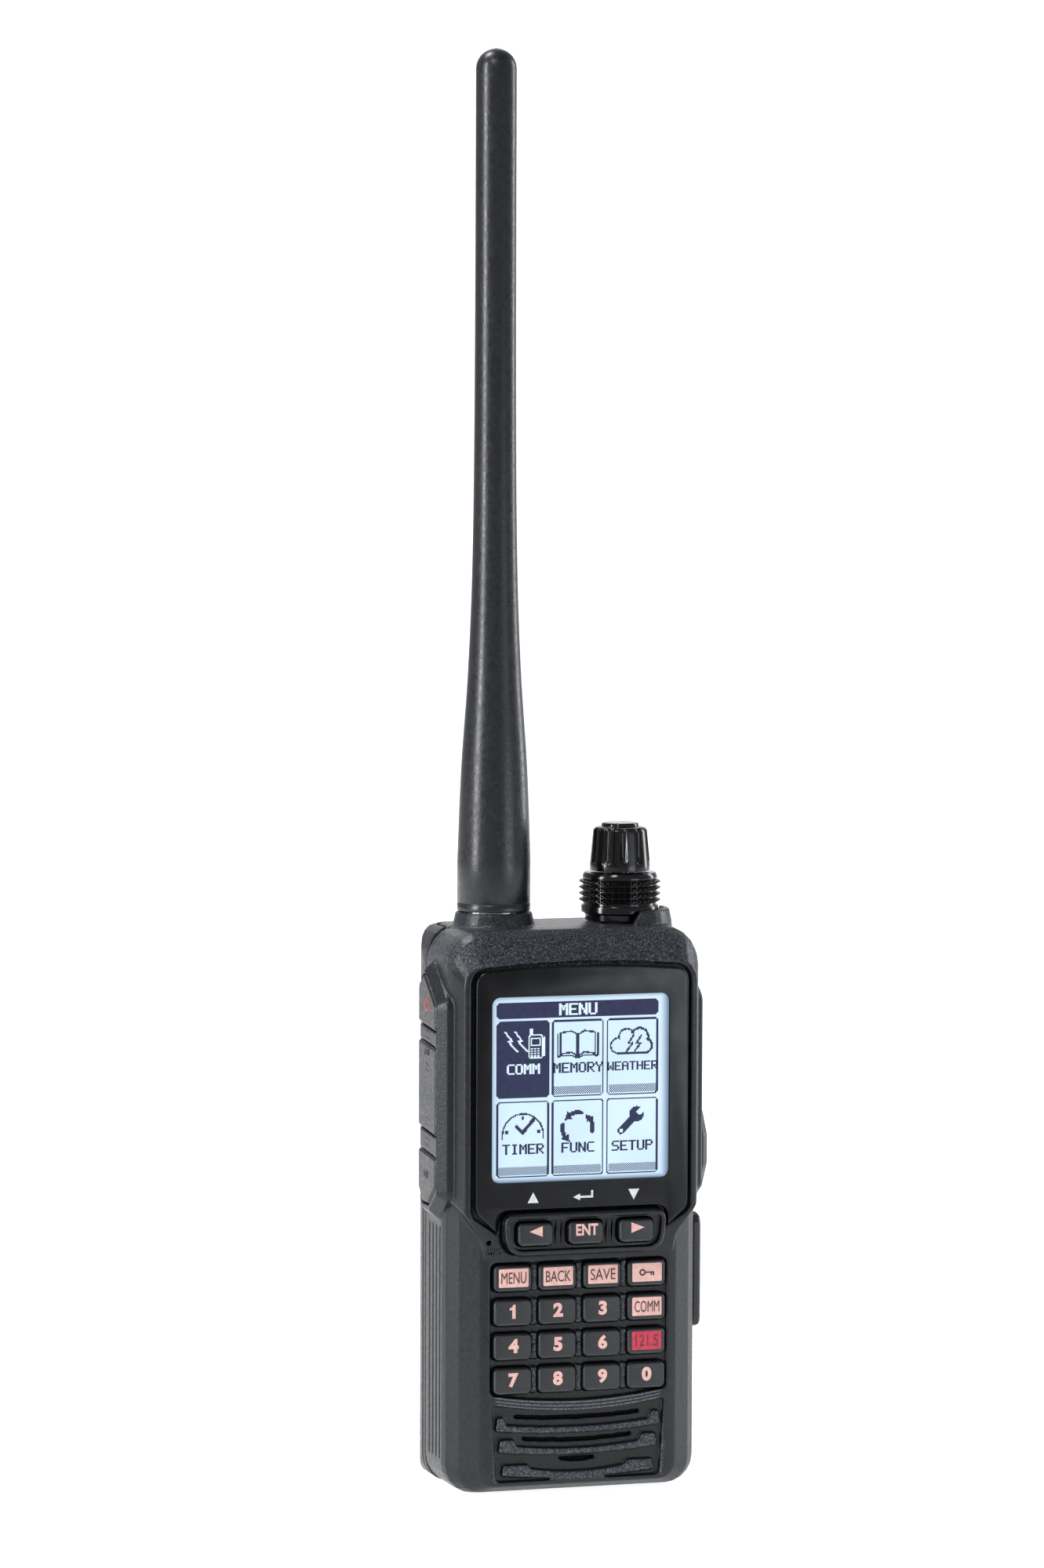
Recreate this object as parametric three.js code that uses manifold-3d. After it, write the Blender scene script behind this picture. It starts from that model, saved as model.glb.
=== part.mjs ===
// A handheld airband radio: a two-shell case with a screen, a keypad and a speaker grille, side keys and
// jack covers, a dual knob and a rod antenna on top, and a battery pack with a belt clip behind.
// Millimetres. +Z is up, -Y is the front, and the origin is the middle of the case's flat bottom face.

import * as THREE from "three";
import { mergeVertices } from "three/addons/utils/BufferGeometryUtils.js";
import Module from "manifold-3d";

const wasm = await Module();
wasm.setup();

// ---------------------------------------------------------------- driving dimensions

const GAP = 0.3; // clearance between pieces that meet
const CASE = { half: 31, height: 133, topRadius: 8.5, bottomRadius: 7, wall: 2 };
const DEPTH = { head: -17.5, face: -16, side: -7, seam: 6, plate: 8.3, back: 17.5 }; // along Y
const FACE = { lowHalf: 22.6 }; // half-width of the flat face round the keys
const HEAD = { low: 56, high: 67, brow: 126 }; // heights where the head's step and its sloped top begin
const LENS = { half: 26, low: 62.8, high: 124, crown: 125, front: -18.4, back: -16.4, channel: 0.9 };
const WINDOW = { half: 22.2, low: 73.6, high: 118 };
const NAV = { x: 0.4, z: 62.3, half: 20.1, low: 57.3, high: 67.1, pitch: 12.4, key: [8.5, 5.3] };
const NAV_DEPTH = { front: -20.2, dish: -18.6, seat: -15.6 };
const KEYPAD = { half: 21.6, low: 23.9, sag: 1.9, high: 55.2, key: [9.2, 6.1] };
const KEY_DEPTH = { floor: -14.9, front: -16.9, back: -13.4 };
const KEY_COLUMNS = [-16.4, -5.5, 5.5, 16.4];
const KEY_ROWS = [51.6, 43.5, 35.4, 27.3];
const GRILLE = { floor: -14.6, half: 21.2, low: 3.2, high: 21.5, sag: 1.7 };
const CAVITY = { front: -13.8, low: 2.5, high: 131 };
const TOP = { y: 2.5, antennaX: -15.6, knobX: 15.6, tongueBack: 13.2, tongueHalf: 26 };
const HUMP = { left: -33.6, right: 31.8, back: 4.6 };
const BATTERY = { front: 8.6, top: 87.6 };
const SCREWS = { caseX: 23, caseZ: 98, clipX: 6, clipZ: 67 };
const KNOB = { flutes: 10, turn: -28 }; // the slot that marks its position is turned this many degrees
const CLIP = { y: 22.3, z: 78, half: 10.4, low: 20 };

const KEY_NAMES = [
  ["key_menu", "key_back", "key_save", "key_lock"],
  ["key_1", "key_2", "key_3", "key_comm"],
  ["key_4", "key_5", "key_6", "key_emergency"],
  ["key_7", "key_8", "key_9", "key_0"],
];

// ---------------------------------------------------------------- materials

const matt = (color, roughness = 0.6, metalness = 0) =>
  new THREE.MeshStandardMaterial({ color, roughness, metalness });
const MATERIALS = {
  case: matt(0x2a2d30, 0.62),
  chassis: matt(0x1d1f21, 0.5, 0.3),
  rubber: matt(0x1c1e20, 0.8),
  glossy: matt(0x0b0b0d, 0.12),
  lens: matt(0x14161a, 0.08),
  screen: matt(0xc9dcec, 0.3),
  key: matt(0x202224, 0.7),
  labelled: matt(0xf0b9ad, 0.6),
  emergency: matt(0xb8243c, 0.6),
  metal: matt(0xb9bcc0, 0.3, 0.9),
  dark_metal: matt(0x3a3c3f, 0.4, 0.8),
  board: matt(0x1d5a35, 0.5),
  cell: matt(0x2f5f9a, 0.5),
};

// ---------------------------------------------------------------- geometry helpers

// A closed outline through corners [u, v, radius]. A corner with a radius becomes a curve.
function outline(corners, radius = 0) {
  const shape = new THREE.Shape();
  corners.forEach(([u, v, r = radius], i) => {
    const here = new THREE.Vector2(u, v);
    const [before, after] = [corners.at(i - 1), corners[(i + 1) % corners.length]].map(
      ([a, b]) => new THREE.Vector2(a, b).sub(here).normalize(),
    );
    const half = Math.acos(THREE.MathUtils.clamp(before.dot(after), -1, 1)) / 2;
    const reach = r / Math.tan(half);
    const start = here.clone().addScaledVector(before, reach);
    const end = here.clone().addScaledVector(after, reach);
    if (i === 0) shape.moveTo(start.x, start.y);
    else shape.lineTo(start.x, start.y);
    if (r > 0) shape.quadraticCurveTo(u, v, end.x, end.y);
  });
  shape.closePath();
  return shape;
}

// The same corners with every edge moved outwards by d. The corners run anticlockwise.
function grown(corners, d) {
  return corners.map(([u, v, r = 0], i) => {
    const here = new THREE.Vector2(u, v);
    const [before, after] = [corners.at(i - 1), corners[(i + 1) % corners.length]];
    const into = here.clone().sub(new THREE.Vector2(...before.slice(0, 2))).normalize();
    const out = new THREE.Vector2(...after.slice(0, 2)).sub(here).normalize();
    const normalIn = new THREE.Vector2(into.y, -into.x);
    const normalOut = new THREE.Vector2(out.y, -out.x);
    const bisector = normalIn.add(normalOut).normalize();
    const reach = d / Math.max(0.2, bisector.dot(normalOut));
    return [u + bisector.x * reach, v + bisector.y * reach, r > 0 ? Math.max(r + d, 0.1) : 0];
  });
}

const rectangle = (u0, v0, u1, v1, r = 0) => [[u0, v0, r], [u1, v0, r], [u1, v1, r], [u0, v1, r]];

// Extrudes an outline, with an optional chamfer at both ends, and turns it to lie along an axis.
function extruded(corners, from, to, { chamfer = 0, steps = 3 } = {}) {
  const shape = corners instanceof THREE.Shape ? corners : outline(corners);
  return new THREE.ExtrudeGeometry(shape, {
    depth: to - from - 2 * chamfer,
    curveSegments: steps,
    bevelEnabled: chamfer > 0,
    bevelThickness: chamfer,
    bevelSize: chamfer,
    bevelOffset: -chamfer,
    bevelSegments: 1,
  }).translate(0, 0, from + chamfer);
}
const alongZ = extruded; // the outline is [x, y]
const alongY = (corners, from, to, options) => // the outline is [x, z]
  extruded(corners, -to, -from, options).rotateX(Math.PI / 2);
const cyclic = new THREE.Matrix4().makeBasis(
  new THREE.Vector3(0, 1, 0),
  new THREE.Vector3(0, 0, 1),
  new THREE.Vector3(1, 0, 0),
);
const alongX = (corners, from, to, options) => // the outline is [y, z]
  extruded(corners, from, to, options).applyMatrix4(cyclic);

// Joins rounded rectangles that face the front into one skin. Each is [y, half width, low, high, low radius,
// high radius].
function loftedAlongY(sections, steps = 5) {
  const rings = sections.map(([y, half, low, high, rLow, rHigh]) => {
    const corners = [
      [half, low, rLow, 1, 1],
      [half, high, rHigh, 1, -1],
      [-half, high, rHigh, -1, -1],
      [-half, low, rLow, -1, 1],
    ];
    return corners.flatMap(([x, z, r, sx, sz], quarter) =>
      Array.from({ length: steps + 1 }, (_, i) => {
        const turn = (quarter - 1 + i / steps) * (Math.PI / 2);
        return [x - sx * r + r * Math.cos(turn), y, z + sz * r + r * Math.sin(turn)];
      }),
    );
  });
  const count = rings[0].length;
  const index = [];
  for (let ring = 0; ring + 1 < rings.length; ring++) {
    for (let i = 0; i < count; i++) {
      const [a, b] = [ring * count + i, ring * count + ((i + 1) % count)];
      index.push(a, a + count, b, b, a + count, b + count);
    }
  }
  const last = (rings.length - 1) * count;
  for (let i = 1; i + 1 < count; i++) index.push(0, i, i + 1, last, last + i + 1, last + i);
  const geometry = new THREE.BufferGeometry();
  geometry.setAttribute("position", new THREE.Float32BufferAttribute(rings.flat(2), 3));
  geometry.setIndex(index);
  return geometry;
}

// Turns a profile of [radius, height] round a vertical axis at x, y. It starts and ends on the axis.
const turned = (profile, segments, x = 0, y = 0) =>
  new THREE.LatheGeometry(profile.map(([r, z]) => new THREE.Vector2(r, z)), segments)
    .rotateX(Math.PI / 2)
    .translate(x, y, 0);
const rod = (r, z0, z1, segments = 20, x = 0, y = 0) =>
  turned([[0, z0], [r, z0], [r, z1], [0, z1]], segments, x, y);
const rodY = (r, y0, y1, x, z, segments = 16) =>
  rod(r, y0, y1, segments).rotateX(-Math.PI / 2).translate(x, 0, z);
const rodX = (r, x0, x1, y, z, segments = 16) =>
  rod(r, x0, x1, segments).rotateY(Math.PI / 2).translate(0, y, z);
const block = (x0, y0, z0, x1, y1, z1) =>
  new THREE.BoxGeometry(x1 - x0, y1 - y0, z1 - z0).translate((x0 + x1) / 2, (y0 + y1) / 2, (z0 + z1) / 2);

// A closed geometry as a solid that can be joined and cut.
function solid(geometry) {
  const bare = geometry.index ? geometry.toNonIndexed() : geometry.clone();
  bare.deleteAttribute("normal");
  bare.deleteAttribute("uv");
  const merged = mergeVertices(bare, 1e-3);
  const kept = [];
  for (let i = 0; i < merged.index.count; i += 3) {
    const [a, b, c] = [0, 1, 2].map((k) => merged.index.getX(i + k));
    if (a !== b && b !== c && c !== a) kept.push(a, b, c);
  }
  return new wasm.Manifold(
    new wasm.Mesh({
      numProp: 3,
      vertProperties: merged.getAttribute("position").array,
      triVerts: new Uint32Array(kept),
    }),
  );
}
const join = (...geometries) => geometries.map(solid).reduce((a, b) => a.add(b));
const cut = (from, ...geometries) => geometries.map(solid).reduce((a, b) => a.subtract(b), from);
const common = (...geometries) => geometries.map(solid).reduce((a, b) => a.intersect(b));

function geometryOf(made) {
  const { vertProperties, triVerts } = made.getMesh();
  const geometry = new THREE.BufferGeometry();
  geometry.setAttribute("position", new THREE.BufferAttribute(vertProperties, 3));
  geometry.setIndex(new THREE.BufferAttribute(triVerts, 1));
  geometry.computeVertexNormals();
  return geometry;
}

const radio = new THREE.Group();
function add(name, material, made, parent = radio) {
  const geometry = made.isBufferGeometry ? made : geometryOf(made);
  const mesh = new THREE.Mesh(geometry, MATERIALS[material]);
  mesh.name = name;
  parent.add(mesh);
  return mesh;
}

// ---------------------------------------------------------------- outlines that pieces share

// The case seen from the front, inset by d all round.
const caseOutline = (d = 0) => [
  [-CASE.half + d, d, CASE.bottomRadius - d],
  [CASE.half - d, d, CASE.bottomRadius - d],
  [CASE.half - d, CASE.height - d, CASE.topRadius - d],
  [-CASE.half + d, CASE.height - d, CASE.topRadius - d],
];

// The cavity of the front shell seen from above: it follows the flat face, the cheeks and the sides.
const cavitySection = (inset) => [
  [-FACE.lowHalf + inset * 0.4, DEPTH.face + inset],
  [FACE.lowHalf - inset * 0.4, DEPTH.face + inset],
  [CASE.half - inset, DEPTH.side],
  [CASE.half - inset, DEPTH.seam + 1],
  [-CASE.half + inset, DEPTH.seam + 1],
  [-CASE.half + inset, DEPTH.side],
];

// The rounded back of the rear shell and the battery, seen from above.
const backSection = (front) =>
  rectangle(-CASE.half, front, CASE.half, DEPTH.back).map(([u, v], i) => [u, v, i < 2 ? 0 : 8.4]);

// The screen lens: an arched top, and a notch below for the frame of the arrow keys.
function lensOutline(d = 0) {
  const { half, low, high, crown } = LENS;
  const notch = NAV.half + 0.9;
  const shape = new THREE.Shape();
  shape.moveTo(-notch + d, low - d);
  shape.lineTo(-notch + d, NAV.high - 2 - d);
  shape.quadraticCurveTo(-notch + d, NAV.high + 0.6 - d, -notch + 3 + d, NAV.high + 0.6 - d);
  shape.lineTo(notch - 3 - d, NAV.high + 0.6 - d);
  shape.quadraticCurveTo(notch - d, NAV.high + 0.6 - d, notch - d, NAV.high - 2 - d);
  shape.lineTo(notch - d, low - d);
  shape.lineTo(half - 1 + d, low + 3.9 - d);
  shape.quadraticCurveTo(half + d, low + 4.8 - d, half + d, low + 6.4 - d);
  shape.lineTo(half + d, high - 3.5);
  shape.quadraticCurveTo(half + d, high + d, half - 3.7, high + d);
  shape.quadraticCurveTo(0, 2 * crown - high + d, -half + 3.7, high + d);
  shape.quadraticCurveTo(-half - d, high + d, -half - d, high - 3.5);
  shape.lineTo(-half - d, low + 6.4 - d);
  shape.quadraticCurveTo(-half - d, low + 4.8 - d, -half + 1 - d, low + 3.9 - d);
  shape.closePath();
  return shape;
}

const navOutline = [
  [NAV.x - NAV.half + 1, NAV.low, 4.5],
  [NAV.x + NAV.half - 1, NAV.low, 4.5],
  [NAV.x + NAV.half, NAV.high, 2.8],
  [NAV.x - NAV.half, NAV.high, 2.8],
];
const keyOutline = ([w, h], x, z, d = 0) =>
  rectangle(x - w / 2 - d, z - h / 2 - d, x + w / 2 + d, z + h / 2 + d, 1.1 + d);
const navColumns = [-NAV.pitch, 0, NAV.pitch].map((x) => x + NAV.x);

// The three keys of the left flank, [y, z], with slanting ends.
const SIDE_KEYS = {
  power_key: [
    [-10.8, 109.4, 0.8], [3.4, 110.6, 0.8], [3.4, 119.5, 1.5],
    [-1.2, 122.4, 1.5], [-10.8, 115.4, 1.5],
  ],
  ptt_key: [[-10.8, 84.8, 0.8], [3.4, 86.0, 0.8], [3.4, 106.6, 0.8], [-10.8, 105.4, 0.8]],
  squelch_key: [
    [-10.8, 73.2, 1.5], [-4.6, 68.2, 1.5], [0.6, 68.2, 1.5],
    [3.4, 71.6, 1.5], [3.4, 80.8, 0.8], [-10.8, 79.6, 0.8],
  ],
};
const humpOutline = [
  [-13.4, 70.4, 3], [-5.8, 64.6, 2], [2, 64.6, 2], [HUMP.back, 68, 2],
  [HUMP.back, 121.6, 2], [-0.8, 125.8, 2], [-13.4, 116.8, 3],
];
const audioCoverOutline = [
  [-9.2, 75.4, 2.4], [-4.6, 67.8, 2.4], [3.8, 67.8, 2.4],
  [3.8, 90, 2.4], [-4.6, 90, 2.4], [-9.2, 83, 2.4],
];
const dcCoverOutline = rectangle(-7.4, 36.4, 3.0, 63.8, 2.4);

// ---------------------------------------------------------------- case shells

function grilleBars() {
  // Three raised bars that sag in the middle, each with a tab at its ends: [end x, tab x, low, tab top]
  const bars = [[20.2, 18.4, 15.4, 18.5], [19.5, 15.9, 10.3, 13.2], [18.7, 12.3, 4.8, 7.1]];
  const sag = 1.1;
  const thick = 1.4;
  return bars.map(([end, tab, low, high]) => {
    const shape = new THREE.Shape();
    shape.moveTo(-end, low);
    shape.quadraticCurveTo(0, low - 2 * sag, end, low);
    shape.lineTo(end - 0.4, high);
    shape.lineTo(tab, high);
    shape.lineTo(tab - 0.8, low + thick - 0.15);
    shape.quadraticCurveTo(0, low + thick - 2 * sag + 0.1, -tab + 0.8, low + thick - 0.15);
    shape.lineTo(-tab, high);
    shape.lineTo(-end + 0.4, high);
    shape.closePath();
    return alongY(shape, DEPTH.face, GRILLE.floor + 0.2, { steps: 8 });
  });
}

// The recess of the speaker grille: it narrows towards the foot, and its top edge sags like the keypad's.
function grilleOutline() {
  const { half, low, high, sag } = GRILLE;
  const foot = half - 1;
  const shape = new THREE.Shape();
  shape.moveTo(-foot + 1.4, low);
  shape.lineTo(foot - 1.4, low);
  shape.quadraticCurveTo(foot, low, foot + 0.1, low + 1.4);
  shape.lineTo(half, high - 0.8);
  shape.quadraticCurveTo(half, high, half - 0.8, high - 0.1);
  shape.quadraticCurveTo(0, high - 2 * sag, -half + 0.8, high - 0.1);
  shape.quadraticCurveTo(-half, high, -half, high - 0.8);
  shape.lineTo(-foot - 0.1, low + 1.4);
  shape.quadraticCurveTo(-foot, low, -foot + 1.4, low);
  shape.closePath();
  return shape;
}

// The keypad's recess: straight sides, and a lower edge that sags in the middle.
function pocketOutline() {
  const { half, low, high, sag } = KEYPAD;
  const shape = new THREE.Shape();
  shape.moveTo(-half, low + 1);
  shape.quadraticCurveTo(-half, low, -half + 1.4, low - 0.2);
  shape.quadraticCurveTo(0, low - 2 * sag + 0.2, half - 1.4, low - 0.2);
  shape.quadraticCurveTo(half, low, half, low + 1);
  shape.lineTo(half, high - 1.6);
  shape.quadraticCurveTo(half, high, half - 1.6, high);
  shape.lineTo(-half + 1.6, high);
  shape.quadraticCurveTo(-half, high, -half, high - 1.6);
  shape.closePath();
  return shape;
}

// Two fine grooves that follow the lower edge of the keypad.
function arcGrooves() {
  return [0.7, 1.45].map((below) => {
    const [end, z, sag, width] = [20.6, KEYPAD.low - below, KEYPAD.sag, 0.3];
    const shape = new THREE.Shape();
    shape.moveTo(-end, z - width);
    shape.quadraticCurveTo(0, z - width - 2 * sag, end, z - width);
    shape.lineTo(end, z);
    shape.quadraticCurveTo(0, z - 2 * sag, -end, z);
    shape.closePath();
    return alongY(shape, DEPTH.face - 1, DEPTH.face + 0.4, { steps: 6 });
  });
}

function grilleSlits() {
  // Sound slits above each bar: [half length, height, sag, thickness]
  const slits = [[15.5, 18.9, 0.7, 0.8], [13.5, 13.6, 0.7, 0.8], [5.8, 8.4, 0, 0.1]];
  return slits.map(([half, z, sag, thick]) => {
    const shape = new THREE.Shape();
    shape.moveTo(-half, z - thick);
    shape.quadraticCurveTo(0, z - thick - 2 * (sag || 1), half, z - thick);
    shape.lineTo(half, z);
    shape.quadraticCurveTo(0, z - 2 * sag, -half, z);
    shape.closePath();
    return alongY(shape, DEPTH.face - 1, CAVITY.front + 1, { steps: 6 });
  });
}

// The outside of the front shell: the body with sloped cheeks, and the wider head round the screen.
function frontShell() {
  const { half, height, topRadius: top, bottomRadius: bottom } = CASE;
  const body = loftedAlongY([
    [DEPTH.face, FACE.lowHalf, 3.2, 125.6, 3, 6],
    [-15.5, 24, 2.2, 126.8, 4, 6.4],
    [-12, 28.4, 0.5, 130, 5.5, 7.4],
    [-9.2, 30.5, 0, 132, 6.5, 8],
    [DEPTH.side, half, 0, height, bottom, top],
    [DEPTH.seam, half, 0, height, bottom, top],
  ]);
  const head = loftedAlongY([
    [DEPTH.head, 28, 50, HEAD.brow - 0.8, 0.5, 5.2],
    [-17.1, 28.6, 50, HEAD.brow, 0.5, 5.8],
    [-12.6, 30.3, 50, 131.4, 0.5, 7.6],
    [-10.2, 30.8, 50, 132.8, 0.5, 8.4],
    [DEPTH.side, half, 50, height, 0.5, top],
    [DEPTH.seam, half, 50, height, 0.5, top],
  ]);
  const headFront = alongY(
    [
      [FACE.lowHalf, HEAD.low - 1], [24, 61], [28.8, 67.6, 3], [32, 72], [32, 134],
      [-32, 134], [-32, 72], [-28.8, 67.6, 3], [-24, 61], [-FACE.lowHalf, HEAD.low - 1],
    ],
    DEPTH.head - 1,
    DEPTH.seam + 1,
    { steps: 4 },
  );
  const headSide = alongX(
    [
      [DEPTH.seam + 1, 50], [DEPTH.seam + 1, 140], [DEPTH.head - 4, 140], [DEPTH.head - 4, HEAD.high],
      [DEPTH.head, HEAD.high, 1.5], [DEPTH.face, HEAD.low], [DEPTH.face, 50],
    ],
    -CASE.half - 1,
    CASE.half + 1,
    { steps: 3 },
  );
  return common(head, headFront, headSide).add(solid(body));
}

// A thin fin that curves round the front and right of the knob, with a sloped outside and sloping ends.
function knobGuard() {
  const { knobX: x, y } = TOP;
  const fin = turned([[0, 128], [12.7, 128], [12.4, 133], [11.8, 136], [11.4, 136.3], [0, 136.3]], 40, x, y);
  const ends = alongX([[-12, 128], [5.7, 128], [5.7, 133.2], [3.8, 137], [-12, 137]], x, x + 14);
  const slope = [[x - 2, 128], [x + 14, 128], [x + 14, 137], [x + 2.2, 137], [x - 0.6, 133]];
  const front = alongY(slope, -14, 8);
  return cut(common(fin, ends, front), rod(10.4, 127, 138, 40, x, y));
}

function frontCase() {
  // The flank humps, the antenna collar, the knob guard, and the tongue that carries the top fittings.
  const tongue = common(
    block(-TOP.tongueHalf, DEPTH.seam - 1, CAVITY.high, TOP.tongueHalf, TOP.tongueBack, CASE.height),
    alongY(caseOutline(), DEPTH.seam - 2, TOP.tongueBack + 1, { steps: 6 }),
  );
  const collarProfile = [[0, 132], [10, 132], [9.6, 133.4], [9.0, 136.1], [0, 136.1]];
  const collar = turned(collarProfile, 36, TOP.antennaX, TOP.y);
  let made = frontShell()
    .add(solid(alongX(humpOutline, HUMP.left, -24, { chamfer: 2.2, steps: 2 })))
    .add(solid(alongX(grown(humpOutline, -1), 28, HUMP.right, { chamfer: 0.7, steps: 2 })))
    .add(solid(collar))
    .add(knobGuard())
    .add(tongue);

  // Inside: the cavity, with room for the screen module.
  const cavity = common(
    alongZ(cavitySection(2.1), CAVITY.low, CAVITY.high),
    alongY(caseOutline(CASE.wall), -20, 20, { steps: 6 }),
  ).intersect(
    solid(
      alongX(
        [
          [CAVITY.front - 1, 4.2], [-9.6, CAVITY.low], [10, CAVITY.low], [10, CAVITY.high],
          [-8.6, CAVITY.high], [CAVITY.front - 1, HEAD.brow - 2],
        ],
        -CASE.half,
        CASE.half,
      ),
    ),
  );
  made = made.subtract(cavity);
  made = cut(made, block(-25.5, -15.2, 69.6, 25.5, -7, 121.5));

  // Screw bosses that take the case screws.
  for (const side of [-1, 1]) {
    const wall = block(side > 0 ? 23 : -29.5, -7.4, 96.6, side > 0 ? 29.5 : -23, 5.7, 99.4);
    made = made.add(solid(wall)).add(solid(rodY(3, -7.4, 5.7, side * SCREWS.caseX, SCREWS.caseZ)));
    made = cut(made, rodY(1.5, -3, 7, side * SCREWS.caseX, SCREWS.caseZ, 12));
  }

  // The front: lens recess and window, arrow-key seat, keypad pocket, grille, microphone hole.
  made = cut(
    made,
    alongY(lensOutline(LENS.channel), -20, LENS.back + 0.2, { steps: 6 }),
    alongY(rectangle(-WINDOW.half, WINDOW.low, WINDOW.half, WINDOW.high, 1), -18, -15),
    alongY(grown(navOutline, 0.4), -20, NAV_DEPTH.seat, { steps: 4 }),
    alongY(pocketOutline(), -18, KEY_DEPTH.floor, { steps: 6 }),
    ...arcGrooves(),
    alongY(grilleOutline(), -18, GRILLE.floor, { steps: 6 }),
    rodY(0.6, -18, -10, -22.2, 60.2, 12),
  );
  for (const bar of grilleBars()) made = made.add(solid(bar));
  made = cut(made, ...grilleSlits());
  for (const z of KEY_ROWS) {
    for (const x of [-10.95, 0, 10.95]) {
      made = made.add(solid(block(x - 0.75, -15.9, z - 3, x + 0.75, KEY_DEPTH.floor + 0.3, z + 3)));
    }
    const wells = KEY_COLUMNS.map((x) => keyOutline(KEYPAD.key, x, z, 0.2));
    made = cut(made, ...wells.map((well) => alongY(well, -16, -10, { steps: 2 })));
  }
  const navWells = navColumns.map((x) => keyOutline(NAV.key, x, NAV.z, GAP));
  made = cut(made, ...navWells.map((well) => alongY(well, -17, -10, { steps: 2 })));

  // The top: holes for the antenna jack and the encoder bushing.
  made = cut(
    made,
    rod(7.8, CASE.height, 138, 28, TOP.antennaX, TOP.y),
    rod(5.2, 130, 134, 24, TOP.antennaX, TOP.y),
    rod(4.5, 130, 134, 24, TOP.knobX, TOP.y),
  );

  // The flanks: wells for the side keys and covers, jack openings, and grip grooves.
  made = cut(
    made,
    ...Object.values(SIDE_KEYS).map((corners) => alongX(grown(corners, GAP), -35, -30.2, { steps: 2 })),
    alongX(grown(audioCoverOutline, 0.45), 30.7, 36, { steps: 2 }),
    alongX(rectangle(-7.7, 69.7, 2.9, 88.2), 28, 32),
    alongX(grown(dcCoverOutline, 0.45), 30.4, 36, { steps: 2 }),
    alongX(rectangle(-7.7, 44.9, 1.9, 54.9), 28, 31),
  );
  for (const y of [-5.6, -2.8, 0, 2.8]) {
    made = cut(
      made,
      block(-CASE.half - 1, y - 0.35, 8, -CASE.half + 0.55, y + 0.35, 63),
      block(CASE.half - 0.55, y - 0.35, 8, CASE.half + 1, y + 0.35, 34),
    );
  }
  return made;
}

function rearCase() {
  const silhouette = alongY(caseOutline(), DEPTH.seam + GAP, DEPTH.back, { steps: 6 });
  const profile = alongX(
    [
      [DEPTH.seam + GAP, 0], [DEPTH.plate, 0], [DEPTH.plate, 88], [DEPTH.back, 88],
      [DEPTH.back, CASE.height, 5], [DEPTH.seam + GAP, CASE.height],
    ],
    -CASE.half,
    CASE.half,
    { steps: 4 },
  );
  let made = common(silhouette, profile, alongZ(backSection(DEPTH.seam + GAP), -1, 134, { steps: 5 }));
  const cavity = common(
    block(-28.3, 5, 90.5, 28.3, 15.3, CAVITY.high),
    alongY(caseOutline(CASE.wall + 0.4), 0, 20, { steps: 6 }),
  );
  made = made.subtract(cavity);
  const gutter = cut(
    solid(block(-32, DEPTH.plate, 88.5, 32, DEPTH.plate + GAP, 134)),
    alongY(caseOutline(0.5), 7, 10, { steps: 6 }),
  );
  made = made.subtract(gutter);
  const { tongueHalf, tongueBack } = TOP;
  made = cut(made, block(-tongueHalf - GAP, 5, 129.5, tongueHalf + GAP, tongueBack + GAP, 134));
  for (const x of [-SCREWS.caseX, SCREWS.caseX]) {
    made = made.add(solid(rodY(3, DEPTH.seam + GAP, 16, x, SCREWS.caseZ)));
    made = cut(made, rodY(1.5, 5, 18, x, SCREWS.caseZ, 12), rodY(2.7, 15.9, 18, x, SCREWS.caseZ));
  }
  // Openings in the plate for the battery contacts and the latch tongue.
  return cut(made, block(-7.8, 5, 26.7, 7.8, 9, 33.3), block(-3.4, 5, 4.6, 3.4, 9, 9.8));
}

// ---------------------------------------------------------------- screen and front controls

function navBezel() {
  const rim = solid(alongY(navOutline, NAV_DEPTH.front, NAV_DEPTH.seat - GAP, { chamfer: 0.4, steps: 4 }));
  return cut(
    rim,
    alongY(grown(navOutline, -1.1), NAV_DEPTH.front - 1, NAV_DEPTH.dish, { steps: 4 }),
    ...navColumns.map((x) => alongY(keyOutline(NAV.key, x, NAV.z, GAP), -20, -14, { steps: 2 })),
  );
}

function keypadMat() {
  // One silicone sheet behind every key, with a plunger under each.
  const { half, low } = KEYPAD;
  const right = [[half, low], [half, 55], [17.5, 55], [17.5, 66]];
  const left = right.map(([x, z]) => [-x, z]).reverse();
  const sheet = alongY([...right, ...left], -12.6, -11.4);
  const places = [
    ...KEY_ROWS.flatMap((z) => KEY_COLUMNS.map((x) => [x, z])),
    ...navColumns.map((x) => [x, NAV.z]),
  ];
  return places.reduce((made, [x, z]) => made.add(solid(rodY(1.6, -11.6, -10, x, z, 6))), solid(sheet));
}

function mainBoard() {
  return alongY([[-26, 27], [26, 27], [26, 120, 3], [20, 125, 2], [-20, 125, 2], [-26, 120, 3]], -9.4, -7.8);
}

function rfShield() {
  return cut(solid(block(-18, -7.5, 60, 8, -4, 112)), block(-17.6, -8, 60.4, 7.6, -4.4, 111.6));
}

function speaker() {
  const frame = solid(alongY(rectangle(-17, 4, 17, 22.6, 9.2), -12.7, -9.2, { steps: 5 }));
  const magnet = solid(rodY(8, -9.4, -4.4, 0, 13.3, 24));
  const dish = turned([[0, 3], [2.2, 2.4], [7.4, 0], [7.4, -1], [0, -1]], 24)
    .rotateX(-Math.PI / 2)
    .translate(0, -12.7, 13.3);
  return cut(frame.add(magnet), dish);
}

// ---------------------------------------------------------------- top controls and antenna

function encoder() {
  const { knobX: x, y } = TOP;
  const body = solid(block(x - 6, y - 6, 119.5, x + 6, y + 6, 129.2));
  return cut(body.add(solid(rod(4.2, 129, 136.4, 24, x, y))), rod(3.3, 122, 138, 24, x, y));
}

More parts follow.
